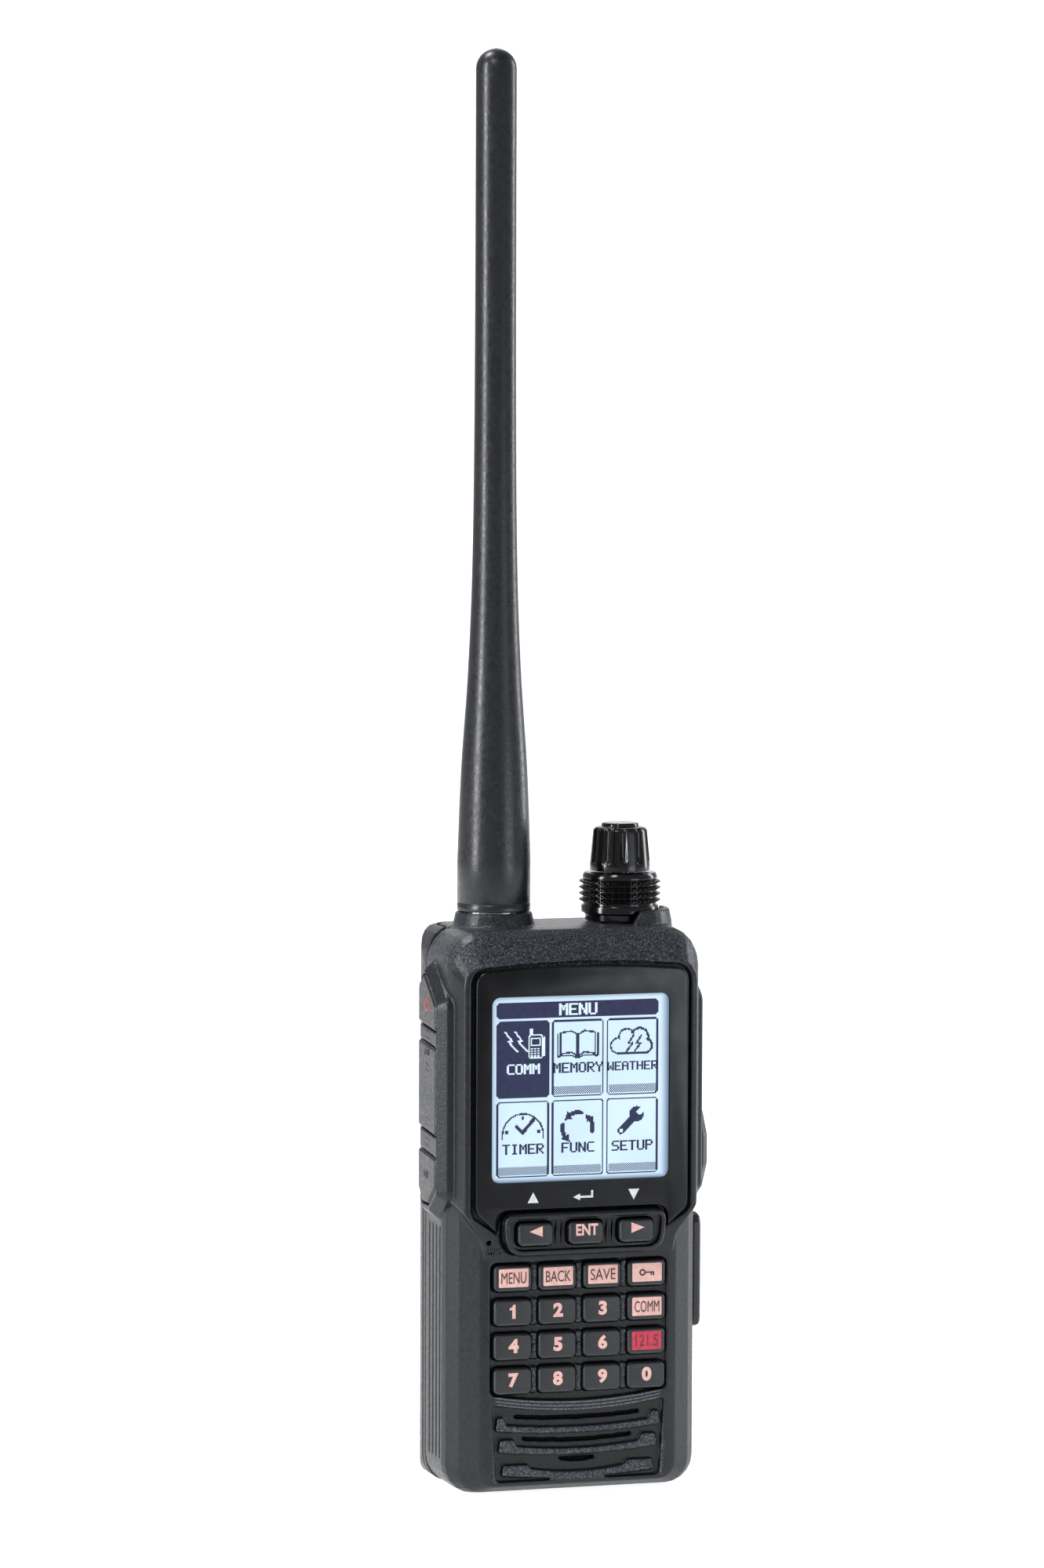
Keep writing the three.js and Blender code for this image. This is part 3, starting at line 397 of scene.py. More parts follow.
def make_materials():
    case_plastic()
    # The last colour given for rear_plastic, soft_rubber and key_rubber is their painted edge highlight.
    simple_plastic(
        "rear_plastic", (0.0052, 0.0062, 0.008), (0.0098, 0.0115, 0.0145), 0.38, 1500, 0.00005,
        (0.04, 0.044, 0.052)
    )
    simple_plastic(
        "antenna_rubber", (0.005, 0.0055, 0.0072), (0.0095, 0.0105, 0.0132), 0.32, 1100, 0.000022
    )
    simple_plastic(
        "soft_rubber", (0.0035, 0.004, 0.005), (0.007, 0.0078, 0.0095), 0.36, 1800, 0.00003,
        (0.035, 0.038, 0.044)
    )
    simple_plastic(
        "key_rubber", (0.005, 0.0055, 0.0065), (0.009, 0.0098, 0.0115), 0.38, 1600, 0.000015,
        (0.03, 0.033, 0.038)
    )
    # The ridges' pale speckle is a painted highlight on their grain.
    simple_plastic("ridge_grain_painted_highlight", (0.016, 0.018, 0.022), (0.125, 0.135, 0.155), 0.4, 2300, 0.00008)
    simple_plastic("connector_plastic", (0.010, 0.010, 0.011), (0.020, 0.020, 0.022), 0.45, 900, 0.00005)
    glossy("gloss_black", (0.002, 0.002, 0.0025), (0.004, 0.004, 0.0045), 0.15)
    glossy("lens_black", (0.0012, 0.0012, 0.0015), (0.002, 0.0021, 0.0026), 0.20, 0.000002, 0.3)
    glossy("dish_black", (0.003, 0.003, 0.0035), (0.006, 0.006, 0.007), 0.2)
    metal("steel", (0.34, 0.35, 0.36), (0.52, 0.53, 0.54), 0.32)
    metal("dark_steel", (0.035, 0.037, 0.04), (0.07, 0.073, 0.08), 0.42)
    metal("nickel", (0.48, 0.47, 0.45), (0.66, 0.65, 0.62), 0.24)
    ink("legend_salmon", (0.66, 0.38, 0.335), (0.76, 0.455, 0.405), 0.55)
    ink("legend_brown", (0.040, 0.016, 0.014), (0.070, 0.030, 0.026), 0.6)
    ink("legend_red", (0.42, 0.018, 0.045), (0.54, 0.030, 0.065), 0.5)
    ink("legend_maroon", (0.10, 0.006, 0.014), (0.15, 0.012, 0.022), 0.5)
    ink("legend_white", (0.60, 0.62, 0.62), (0.74, 0.76, 0.76), 0.5)
    ink("power_red", (0.50, 0.05, 0.04), (0.65, 0.085, 0.07), 0.5)
    ink("pixel_navy", (0.006, 0.009, 0.052), (0.010, 0.0145, 0.070), 0.6)
    ink("pixel_white", (0.44, 0.56, 0.66), (0.50, 0.62, 0.70), 0.35, 0.5)
    ink("print_black", (0.006, 0.006, 0.007), (0.011, 0.011, 0.012), 0.25)
    ink("board_green", (0.010, 0.070, 0.030), (0.020, 0.110, 0.050), 0.4)
    ink("cell_blue", (0.025, 0.10, 0.26), (0.040, 0.14, 0.33), 0.4)
    screen_glass()
    perforated()


# ---------------------------------------------------------------- mesh tools (millimetres)

CORNERS = ((1, 1), (-1, 1), (-1, -1), (1, -1))


def mesh_of(points, faces, name="part"):
    mesh = bpy.data.meshes.new(name)
    mesh.from_pydata([tuple(c * MM for c in p) for p in points], [], faces)
    mesh.validate()
    return mesh


def circle(count):
    """The cosine and sine of evenly spaced turns."""
    turns = (2 * math.pi * i / count for i in range(count))
    return [(math.cos(t), math.sin(t)) for t in turns]


def loft(rings, caps=True):
    """A closed skin through rings of points, all with the same count."""
    count = len(rings[0])
    points = [p for ring in rings for p in ring]
    faces = []
    for r in range(len(rings) - 1):
        for i in range(count):
            j = (i + 1) % count
            faces.append((r * count + i, r * count + j, (r + 1) * count + j, (r + 1) * count + i))
    if caps:
        faces.append(tuple(reversed(range(count))))
        faces.append(tuple(range((len(rings) - 1) * count, len(rings) * count)))
    mesh = mesh_of(points, faces)
    outward(mesh)
    return mesh


def outward(mesh):
    bm = bmesh.new()
    bm.from_mesh(mesh)
    bmesh.ops.recalc_face_normals(bm, faces=bm.faces)
    bm.to_mesh(mesh)
    bm.free()


def rounded(width, height, radius, steps=5, x=0.0, z=0.0):
    """The corners of a rounded rectangle, anticlockwise seen from the front."""
    radius = min(radius, width / 2 - 1e-3, height / 2 - 1e-3)
    points = []
    for quarter, (sx, sz) in enumerate(CORNERS):
        for i in range(steps + 1):
            turn = (quarter + i / steps) * math.pi / 2
            points.append((
                x + sx * (width / 2 - radius) + radius * math.cos(turn),
                z + sz * (height / 2 - radius) + radius * math.sin(turn),
            ))
    return points


def facing_front(points, y):
    return [(x, y, z) for x, z in points]


def cushion_slab(width, height, radius, x, z, back, front, edge, steps=5):
    """A slab that faces the front, with a rounded front edge."""
    rings = [facing_front(rounded(width, height, radius, steps, x, z), back)]
    turns = 5
    for i in range(turns + 1):
        turn = i / turns * math.pi / 2
        inset = edge * (1 - math.cos(turn))
        y = front + edge * (1 - math.sin(turn))
        rings.append(
            facing_front(
                rounded(width - 2 * inset, height - 2 * inset, max(0.15, radius - inset), steps, x, z), y
            )
        )
    return loft(rings)


def revolve(profile, segments, x=0.0, y=0.0, closed=False):
    """Turns a profile of (radius, height) round an upright axis."""
    rings = [[(x + r * c, y + r * s, z) for c, s in circle(segments)] for r, z in profile]
    if closed:
        rings.append(rings[0])
        return weld(loft(rings, caps=False))
    return loft(rings)


def weld(mesh, distance=1e-7):
    bm = bmesh.new()
    bm.from_mesh(mesh)
    bmesh.ops.remove_doubles(bm, verts=bm.verts, dist=distance)
    bmesh.ops.recalc_face_normals(bm, faces=bm.faces)
    bm.to_mesh(mesh)
    bm.free()
    return mesh


def smooth_curve(points, steps):
    """Points along a smooth curve through the given (radius, height) pairs."""
    made = []
    for i in range(len(points) - 1):
        before, a = points[max(i - 1, 0)], points[i]
        b, after = points[i + 1], points[min(i + 2, len(points) - 1)]
        for s in range(steps):
            t = s / steps
            made.append(tuple(
                0.5 * (2 * a[k] + (b[k] - before[k]) * t
                       + (2 * before[k] - 5 * a[k] + 4 * b[k] - after[k]) * t * t
                       + (3 * a[k] - before[k] - 3 * b[k] + after[k]) * t ** 3)
                for k in (0, 1)
            ))
    made.append(points[-1])
    return made


def sweep(path, radius, sides=8, flat=1.0, across=(0, -1, 0)):
    """A round bar along a path, with domed ends. `across` is the direction it stands proud."""
    rings = []
    out = Vector(across).normalized()
    path = [Vector(p) for p in path]
    for i, here in enumerate(path):
        along = (path[min(i + 1, len(path) - 1)] - path[max(i - 1, 0)]).normalized()
        side = along.cross(out).normalized()
        size = radius * (0.35 if i in (0, len(path) - 1) else 1.0)
        ring = []
        for k in range(sides):
            turn = 2 * math.pi * k / sides
            ring.append(tuple(here + side * (size * math.cos(turn)) + out * (size * flat * math.sin(turn))))
        rings.append(ring)
    return loft(rings)


def boxes(rectangles, y_back, y_front):
    """Thin closed plates that face the front, one for each (x0, z0, x1, z1)."""
    points, faces = [], []
    for x0, z0, x1, z1 in rectangles:
        n = len(points)
        points += [
            (x, y, z) for y in (y_front, y_back) for x, z in ((x0, z0), (x1, z0), (x1, z1), (x0, z1))
        ]
        faces += [
            (n, n + 1, n + 2, n + 3), (n + 7, n + 6, n + 5, n + 4), (n, n + 4, n + 5, n + 1),
            (n + 1, n + 5, n + 6, n + 2), (n + 2, n + 6, n + 7, n + 3), (n + 3, n + 7, n + 4, n),
        ]
    return mesh_of(points, faces)


FRONT = Matrix(((1, 0, 0), (0, 0, -1), (0, 1, 0)))  # text that faces the front
LEFT = Matrix(((0, 0, -1), (-1, 0, 0), (0, 1, 0)))
RIGHT = Matrix(((0, 0, 1), (1, 0, 0), (0, 1, 0)))
TOP = Matrix.Identity(3)


def lettering(words, height, place, facing=FRONT, depth=0.06, bold=0.0, narrow=1.0, slant=0.0, wide=None):
    """Raised lettering, `height` tall and if asked `wide` across, centred on a place, all in millimetres."""
    curve = bpy.data.curves.new("words", "FONT")
    curve.body = words
    curve.size = 1.0
    curve.resolution_u = 4
    curve.shear = slant
    curve.offset = bold
    holder = bpy.data.objects.new("words", curve)
    bpy.context.scene.collection.objects.link(holder)
    bpy.context.view_layer.update()
    mesh = bpy.data.meshes.new_from_object(holder.evaluated_get(bpy.context.evaluated_depsgraph_get()))
    bpy.data.objects.remove(holder)
    low = [min(v.co[k] for v in mesh.vertices) for k in (0, 1)]
    high = [max(v.co[k] for v in mesh.vertices) for k in (0, 1)]
    size = height / (high[1] - low[1])
    if wide:
        narrow = wide / (size * (high[0] - low[0]))
    bm = bmesh.new()
    bm.from_mesh(mesh)
    made = bmesh.ops.extrude_face_region(bm, geom=bm.faces[:])
    raised = [v for v in made["geom"] if isinstance(v, bmesh.types.BMVert)]
    bmesh.ops.translate(bm, verts=raised, vec=(0, 0, 1))
    bmesh.ops.recalc_face_normals(bm, faces=bm.faces)
    bm.to_mesh(mesh)
    bm.free()
    middle = Vector(((low[0] + high[0]) / 2, (low[1] + high[1]) / 2, 0))
    for v in mesh.vertices:
        flat = v.co - middle
        local = Vector((flat.x * size * narrow, flat.y * size, flat.z * depth))
        v.co = (facing @ local + Vector(place)) * MM
    return mesh


def plate(corners, y_back, y_front, at=(0.0, 0.0)):
    """A thin plate with the given outline of (x, z), facing the front."""
    points = [(x + at[0], z + at[1]) for x, z in corners]
    return loft([facing_front(points, y_back), facing_front(points, y_front)])


class Piece:
    """One mesh of several materials that rides on a body."""

    def __init__(self, name, body, slot, replaces=()):
        self.name, self.body, self.slot, self.replaces = name, body, slot, replaces
        self.bm = bmesh.new()
        self.materials = []

    def add(self, mesh, material, smooth=True):
        if material not in self.materials:
            self.materials.append(material)
        index = self.materials.index(material)
        start = len(self.bm.faces)
        self.bm.from_mesh(mesh)
        self.bm.faces.ensure_lookup_table()
        for face in self.bm.faces[start:]:
            face.material_index = index
            face.smooth = smooth
        bpy.data.meshes.remove(mesh)
        return self

    def done(self, sharp=38.0):
        mesh = bpy.data.meshes.new(self.name)
        self.bm.to_mesh(mesh)
        self.bm.free()
        for name in self.materials:
            mesh.materials.append(MATERIALS[name])
        mesh.set_sharp_from_angle(angle=math.radians(sharp))
        return place(self.name, mesh, self.body, self.slot, self.replaces)


def place(name, mesh, body, slot, replaces=()):
    made = bpy.data.objects.new(name, mesh)
    bpy.context.scene.collection.objects.link(made)
    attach(made, body)
    if replaces:
        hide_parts(*replaces)
    return made


def applied(mesh, *modifiers):
    """The mesh after the given modifiers, each a type and its settings."""
    holder = bpy.data.objects.new("holder", mesh)
    bpy.context.scene.collection.objects.link(holder)
    for kind, settings in modifiers:
        modifier = holder.modifiers.new(kind, kind)
        for key, value in settings.items():
            setattr(modifier, key, value)
    bpy.context.view_layer.update()
    graph = bpy.context.evaluated_depsgraph_get()
    made = bpy.data.meshes.new_from_object(holder.evaluated_get(graph))
    bpy.data.objects.remove(holder)
    return made


def moulded(node, voxel, rounds, keep):
    """The node's surface with softly rounded edges, as a mould leaves them. `voxel` is in millimetres."""
    start = weld(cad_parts[node].data.copy(), 2e-6)
    made = applied(
        start,
        ("REMESH", {"mode": "VOXEL", "voxel_size": voxel * MM, "adaptivity": 0.0}),
        ("SMOOTH", {"factor": 0.5, "iterations": rounds}),
        ("DECIMATE", {"ratio": keep}),
    )
    made.materials.clear()
    return made


def moulded_piece(name, node, body, slot, material, voxel=0.3, rounds=6, keep=0.25):
    return Piece(name, body, slot, (node,)).add(moulded(node, voxel, rounds, keep), material)


# ---------------------------------------------------------------- the case


def make_case():
    front = moulded_piece("front_shell", "front_case", "case", "case", "moulded_case", 0.26, 7, 0.24)
    front.add(
        lettering("MIC", 1.6, (-20.8, -15.9, 58.0), depth=0.62, bold=0.02, slant=0.25), "print_black", False
    )
    front.add(lettering("VOL", 1.5, (5.6, -5.8, 133.0), TOP, 0.05), "print_black", False)
    front.add(lettering("SQL", 1.5, (9.4, -8.6, 133.0), TOP, 0.05), "print_black", False)
    front.done(60)

    # Three fine ridges that follow the lower edge of the keypad.
    ridges = Piece("keypad_ridges", "case", "case")
    for below, half in ((0.28, 20.7), (1.1, 20.4), (1.9, 20.1)):
        path = []
        for i in range(41):
            x = half * (i / 20 - 1)
            path.append((x, -16.0, 23.75 - below - 1.85 * (1 - (x / half) ** 2)))
        # The ridges carry a painted highlight.
        ridges.add(sweep(path, 0.24, 8, 0.8), "ridge_grain_painted_highlight")
    ridges.done()

    moulded_piece("rear_shell", "rear_case", "case", "chassis", "rear_plastic", 0.32, 5, 0.25).done(60)
    battery = moulded_piece(
        "battery_shell", "battery_housing", "battery", "case", "rear_plastic", 0.32, 5, 0.25
    )
    battery.done(60)


LENS_FRONT = -18.4
PANEL_FRONT = -17.95
WINDOW = {"x": -0.4, "z": 96.15, "width": 43.6, "height": 43.7}


def make_lens():
    start = weld(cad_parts["display_lens"].data.copy(), 2e-6)
    bm = bmesh.new()
    bm.from_mesh(start)
    bmesh.ops.dissolve_limit(bm, angle_limit=math.radians(2), verts=bm.verts, edges=bm.edges)
    rim = [
        e for e in bm.edges
        if all(v.co.y < (LENS_FRONT + 0.05) * MM for v in e.verts) and e.calc_face_angle(0) > 0.8
    ]
    bmesh.ops.bevel(bm, geom=rim, offset=0.45 * MM, segments=4, profile=0.5, affect="EDGES")
    bm.to_mesh(start)
    bm.free()
    opening = rounded(WINDOW["width"], WINDOW["height"], 2.0, 6, WINDOW["x"], WINDOW["z"])
    window = bpy.data.objects.new("window", loft([facing_front(opening, -20), facing_front(opening, -15)]))
    bpy.context.scene.collection.objects.link(window)
    glass = applied(start, ("BOOLEAN", {"operation": "DIFFERENCE", "object": window, "solver": "EXACT"}))
    bpy.data.objects.remove(window)
    glass.materials.clear()
    lens = Piece("lens_plate", "case", "lens", ("display_lens",)).add(glass, "lens_black")
    back, proud = LENS_FRONT + 0.02, LENS_FRONT - 0.03
    triangle = [(-1.35, -1.2), (1.35, -1.2), (0, 1.3)]
    lens.add(plate(triangle, back, proud, (-12.1, 70.7)), "legend_white", False)
    lens.add(
        plate([(x, -z) for x, z in reversed(triangle)], back, proud, (12.6, 70.7)), "legend_white", False
    )
    arrow = [
        (-2.6, -0.2), (-0.9, -1.0), (-0.9, -0.45), (2.3, -0.45), (2.3, 1.3), (1.8, 1.3), (1.8, 0.05),
        (-0.9, 0.05), (-0.9, 0.6)
    ]
    lens.add(plate(arrow, back, proud, (0.3, 70.7)), "legend_white", False)
    lens.done(30)


# ---------------------------------------------------------------- the display's picture

PITCH = 0.27  # one dot of the display, in mm
PICTURE = {"left": -20.95, "right": 18.6, "low": 75.5, "high": 116.75}
CELL_COLUMNS = [(-20.95, -8.15), (-7.55, 5.25), (5.85, 18.6)]
CELL_ROWS = [(94.2, 112.3), (75.5, 93.5)]
LABELS = [["COMM", "MEMORY", "WEATHER"], ["TIMER", "FUNC", "SETUP"]]
LETTERS = {
    "A": ".###. #...# #...# ##### #...# #...# #...#",
    "C": ".#### #.... #.... #.... #.... #.... .####",
    "E": "##### #.... #.... ####. #.... #.... #####",
    "F": "##### #.... #.... ####. #.... #.... #....",
    "H": "#...# #...# #...# ##### #...# #...# #...#",
    "I": ".###. ..#.. ..#.. ..#.. ..#.. ..#.. .###.",
    "M": "#...# ##.## #.#.# #.#.# #...# #...# #...#",
    "N": "#...# ##..# ##..# #.#.# #..## #..## #...#",
    "O": ".###. #...# #...# #...# #...# #...# .###.",
    "P": "####. #...# #...# ####. #.... #.... #....",
    "R": "####. #...# #...# ####. #.#.. #..#. #...#",
    "S": ".#### #.... #.... .###. ....# ....# ####.",
    "T": "##### ..#.. ..#.. ..#.. ..#.. ..#.. ..#..",
    "U": "#...# #...# #...# #...# #...# #...# .###.",
    "W": "#...# #...# #...# #.#.# #.#.# ##.## #...#",
    "Y": "#...# #...# .#.#. ..#.. ..#.. ..#.. ..#..",
}


class Dots:
    """A picture made of square dots, drawn with simple shapes in millimetres."""

    def __init__(self):
        self.on = set()

    def paint(self, inside, box, value=True):
        x0, z0, x1, z1 = box
        for i in range(math.floor(x0 / PITCH), math.ceil(x1 / PITCH) + 1):
            for k in range(math.floor(z0 / PITCH), math.ceil(z1 / PITCH) + 1):
                if inside((i + 0.5) * PITCH, (k + 0.5) * PITCH):
                    if value:
                        self.on.add((i, k))
                    else:
                        self.on.discard((i, k))

    def block(self, x0, z0, x1, z1, value=True, corner=0.0):
        def inside(x, z):
            if not (x0 <= x < x1 and z0 <= z < z1):
                return False
            return min(x - x0, x1 - x) + min(z - z0, z1 - z) >= corner
        self.paint(inside, (x0, z0, x1, z1), value)

    def frame(self, x0, z0, x1, z1, wide=0.3, corner=0.0):
        def inside(x, z):
            near_x, near_z = min(x - x0, x1 - x), min(z - z0, z1 - z)
            if near_x < 0 or near_z < 0 or near_x + near_z < corner:
                return False
            return near_x < wide or near_z < wide or near_x + near_z < corner + wide
        self.paint(inside, (x0, z0, x1, z1))

    def stroke(self, points, wide, value=True):
        for (ax, az), (bx, bz) in zip(points, points[1:]):
            length = max(math.hypot(bx - ax, bz - az), 1e-6)

            def inside(x, z):
                t = max(0.0, min(1.0, ((x - ax) * (bx - ax) + (z - az) * (bz - az)) / length ** 2))
                return math.hypot(x - ax - t * (bx - ax), z - az - t * (bz - az)) <= wide / 2
            self.paint(
                inside, (min(ax, bx) - wide, min(az, bz) - wide, max(ax, bx) + wide, max(az, bz) + wide),
                value
            )

    def arc(self, x, z, radius, start, end, wide):
        steps = max(6, int(abs(end - start) / 12))
        turns = [math.radians(start + (end - start) * i / steps) for i in range(steps + 1)]
        self.stroke([(x + radius * math.cos(t), z + radius * math.sin(t)) for t in turns], wide)

    def fill(self, corners, value=True):
        def inside(x, z):
            crossings = False
            for (ax, az), (bx, bz) in zip(corners, corners[1:] + corners[:1]):
                if (az > z) != (bz > z) and x < ax + (z - az) / (bz - az) * (bx - ax):
                    crossings = not crossings
            return crossings
        xs, zs = [c[0] for c in corners], [c[1] for c in corners]
        self.paint(inside, (min(xs), min(zs), max(xs), max(zs)), value)

    def rectangles(self):
        """The dots as few plates: runs along each row, joined where rows repeat."""
        rows = {}
        for i, k in sorted(self.on, key=lambda d: (d[1], d[0])):
            runs = rows.setdefault(k, [])
            if runs and runs[-1][1] == i:
                runs[-1][1] = i + 1
            else:
                runs.append([i, i + 1])
        made, open_runs = [], {}
        for k in sorted(rows):
            here = {tuple(r) for r in rows[k]}
            kept = {}
            for run, (start, last) in open_runs.items():
                if run in here and last == k:
                    kept[run] = (start, k + 1)
                else:
                    made.append((run[0], start, run[1], last))
            for run in here:
                kept.setdefault(run, (k, k + 1))
            open_runs = kept
        made += [(run[0], start, run[1], last) for run, (start, last) in open_runs.items()]
        return [tuple(v * PITCH for v in r) for r in made]


def dot_words(words, x, z, dot, thick=1.5):
    """Plates that spell words in a 5 by 7 dot letter, centred on x with z as the middle height."""
    made = []
    left = x - (len(words) * 6 - 1) * dot / 2
    for n, letter in enumerate(words):
        for row, line in enumerate(LETTERS[letter].split()):
            start = None
            for column, mark in enumerate(line + "."):
                if mark == "#" and start is None:
                    start = column
                if mark != "#" and start is not None:
                    x0 = left + (n * 6 + start) * dot
                    x1 = left + (n * 6 + column) * dot + dot * (thick - 1)
                    z1 = z + (3.5 - row) * dot
                    made.append((x0, z1 - dot, x1, z1))
                    start = None
    return made


def radio_icon(dots, x, z):
    """A small handset with a stub antenna, and two bolts beside it. White on the dark cell."""
    dots.frame(x + 0.9, z - 3.4, x + 4.6, z + 2.4, 0.35, 0.6)
    dots.block(x + 1.2, z + 2.2, x + 2.1, z + 3.6)
    dots.frame(x + 1.6, z - 0.3, x + 3.9, z + 1.7, 0.3)
    for row in range(4):
        for column in range(3):
            dots.block(
                x + 1.5 + column * 0.85, z - 1.1 - row * 0.62, x + 2.1 + column * 0.85, z - 0.75 - row * 0.62
            )
    dots.stroke([(x + 4.9, z - 2.6), (x + 4.9, z + 1.6)], 0.5)
    for shift in (0.0, 2.4):
        dots.stroke([(x - 4.6 + shift, z + 3.0), (x - 3.0 + shift, z + 0.9)], 0.4)
        dots.stroke([(x - 3.0 + shift, z + 0.9), (x - 3.9 + shift, z + 0.9)], 0.35)
        dots.stroke([(x - 3.9 + shift, z + 0.9), (x - 1.7 + shift, z - 1.6)], 0.4)


def book_icon(dots, x, z):
    for side in (-1, 1):
        dots.stroke([(x, z + 2.0), (x + side * 1.6, z + 2.9), (x + side * 4.3, z + 2.5)], 0.4)
        dots.stroke([(x, z - 3.0), (x + side * 1.6, z - 2.1), (x + side * 4.3, z - 2.5)], 0.4)
        dots.stroke([(x + side * 4.3, z + 2.5), (x + side * 4.3, z - 2.5)], 0.4)
        dots.stroke(
            [
                (x + side * 4.9, z + 2.2), (x + side * 4.9, z - 3.0), (x + side * 1.4, z - 2.9),
                (x, z - 3.5)
            ], 0.35
        )
    dots.stroke([(x, z + 2.0), (x, z - 3.2)], 0.7)


def cloud_icon(dots, x, z):
    dots.arc(x - 3.3, z - 0.9, 1.8, 80, 275, 0.4)
    dots.arc(x - 1.2, z + 1.1, 1.9, 25, 190, 0.4)
    dots.arc(x + 2.0, z + 1.0, 2.1, -20, 150, 0.55)
    dots.arc(x + 3.3, z - 1.1, 1.7, -95, 70, 0.55)
    dots.stroke([(x - 3.1, z - 2.7), (x + 3.2, z - 2.7)], 0.4)
    for shift in (-0.3, 1.7):
        dots.stroke(
            [
                (x + 0.7 + shift, z + 1.3), (x - 0.5 + shift, z - 0.5), (x + 0.6 + shift, z - 0.4),
                (x - 0.9 + shift, z - 2.3)
            ], 0.45
        )


def clock_icon(dots, x, z):
    dots.arc(x, z - 2.6, 5.0, 0, 180, 0.4)
    for turn in (12, 90, 168):
        a = math.radians(turn)
        dots.block(
            x + 4.0 * math.cos(a) - 0.35, z - 2.6 + 4.0 * math.sin(a) - 0.35,
            x + 4.0 * math.cos(a) + 0.35, z - 2.6 + 4.0 * math.sin(a) + 0.35,
        )
    dots.stroke([(x - 1.5, z - 0.6), (x - 0.1, z - 2.1), (x + 2.7, z + 1.1)], 0.85)
    for side in (-1, 1):
        dots.stroke([(x + side * 5.0, z - 2.6), (x + side * 5.0, z - 3.3)], 0.4)


def cycle_icon(dots, x, z):
    for start in (-25, 65, 155):
        dots.arc(x, z - 1.4, 3.7, start + 12, start + 62, 1.05)
        a = math.radians(start + 74)
        tip = (x + 3.7 * math.cos(a + 0.18), z - 1.4 + 3.7 * math.sin(a + 0.18))
        base = math.radians(start + 56)
        dots.fill([
            tip,
            (x + 4.8 * math.cos(base), z - 1.4 + 4.8 * math.sin(base)),
            (x + 2.6 * math.cos(base), z - 1.4 + 2.6 * math.sin(base)),
        ])


def spanner_icon(dots, x, z):
    dots.stroke([(x - 2.3, z - 2.4), (x + 0.9, z + 0.8)], 1.7)
    dots.stroke([(x + 1.5, z + 1.4), (x + 1.6, z + 1.5)], 3.6)
    dots.fill([(x + 1.4, z + 1.9), (x + 3.8, z + 4.2), (x + 4.6, z + 2.9), (x + 2.4, z + 1.1)], False)
    dots.block(x - 2.6, z - 2.7, x - 1.9, z - 2.0, False)


def make_display():
    panel = Piece("display_panel", "case", "screen")
    panel.add(
        cushion_slab(
            WINDOW["width"] - 0.1, WINDOW["height"] - 0.1, 1.95, WINDOW["x"], WINDOW["z"], -16.7,
            PANEL_FRONT, 0.12
        ),
        "display_glow",
    )
    panel.done()

    dark, light = Dots(), Dots()
    dark.block(PICTURE["left"], 112.8, PICTURE["right"], PICTURE["high"], corner=0.7)
    for row, (z0, z1) in enumerate(CELL_ROWS):
        for column, (x0, x1) in enumerate(CELL_COLUMNS):
            if row == column == 0:
                dark.block(x0, z0, x1, z1, corner=0.7)
                continue
            dark.frame(x0, z0, x1, z1, 0.40, 0.7)
            first, last = math.ceil((x0 + 0.4) / PITCH), math.floor((x1 - 0.4) / PITCH)
            for k in range(math.ceil((z0 + 0.4) / PITCH), math.floor((z0 + 2.7) / PITCH)):
                dark.on.update((i, k) for i in range(first, last) if (i + k) % 2)
    middle = [sum(c) / 2 for c in CELL_COLUMNS]
    top, bottom = 106.7, 88.1
    radio_icon(light, middle[0] + 0.3, top)
    book_icon(dark, middle[1], top)
    cloud_icon(dark, middle[2] - 0.2, top)
    clock_icon(dark, middle[0], bottom)
    cycle_icon(dark, middle[1], bottom)
    spanner_icon(dark, middle[2] - 0.4, bottom)

    navy = dark.rectangles()
    white = light.rectangles() + dot_words("MENU", -1.2, 114.75, 0.40)
    for row, (names, height) in enumerate(zip(LABELS, (101.0, 82.2))):
        for column, name in enumerate(names):
            words = dot_words(name, middle[column], height, 0.345 if len(name) < 7 else 0.30)
            (white if row == column == 0 else navy).extend(words)
    picture = Piece("display_picture", "case", "screen")
    picture.add(boxes(navy, PANEL_FRONT + 0.02, PANEL_FRONT - 0.02), "pixel_navy", False)
    picture.add(boxes(white, PANEL_FRONT - 0.01, PANEL_FRONT - 0.04), "pixel_white", False)
    picture.done()


# ---------------------------------------------------------------- keys on the front

KEY = {"width": 9.2, "height": 6.1, "radius": 1.25, "front": -16.9, "back": -13.4}
KEY_X = (-16.4, -5.5, 5.5, 16.4)
KEY_Z = (51.6, 43.5, 35.4, 27.3)
WEB_FRONT = -15.9  # the case between the keys
LEGEND_SHIFT = 0.1  # legends sit a little right of the middle of their key
KEYPAD = [
    [("key_menu", "MENU"), ("key_back", "BACK"), ("key_save", "SAVE"), ("key_lock", "")],
    [("key_1", "1"), ("key_2", "2"), ("key_3", "3"), ("key_comm", "COMM")],
    [("key_4", "4"), ("key_5", "5"), ("key_6", "6"), ("key_emergency", "121.5")],
    [("key_7", "7"), ("key_8", "8"), ("key_9", "9"), ("key_0", "0")],
]


def lock_legend(piece, x, z, front):
    """A small key: a ring, a shaft and two teeth."""
    bow, outer, hole = x - 1.15, 0.8, 0.42
    ring = [[(bow + radius * c, z + radius * s) for c, s in circle(20)] for radius in (outer, hole)]
    rings = [
        facing_front(ring[0], front), facing_front(ring[0], front - 0.05),
        facing_front(ring[1], front - 0.05), facing_front(ring[1], front), facing_front(ring[0], front),
    ]
    piece.add(weld(loft(rings, caps=False)), "legend_brown", False)
    bars = [
        (x - 0.4, z - 0.17, x + 1.75, z + 0.17), (x + 0.85, z - 0.7, x + 1.15, z - 0.15),
        (x + 1.4, z - 0.8, x + 1.75, z - 0.15)
    ]
    piece.add(boxes(bars, front, front - 0.05), "legend_brown", False)


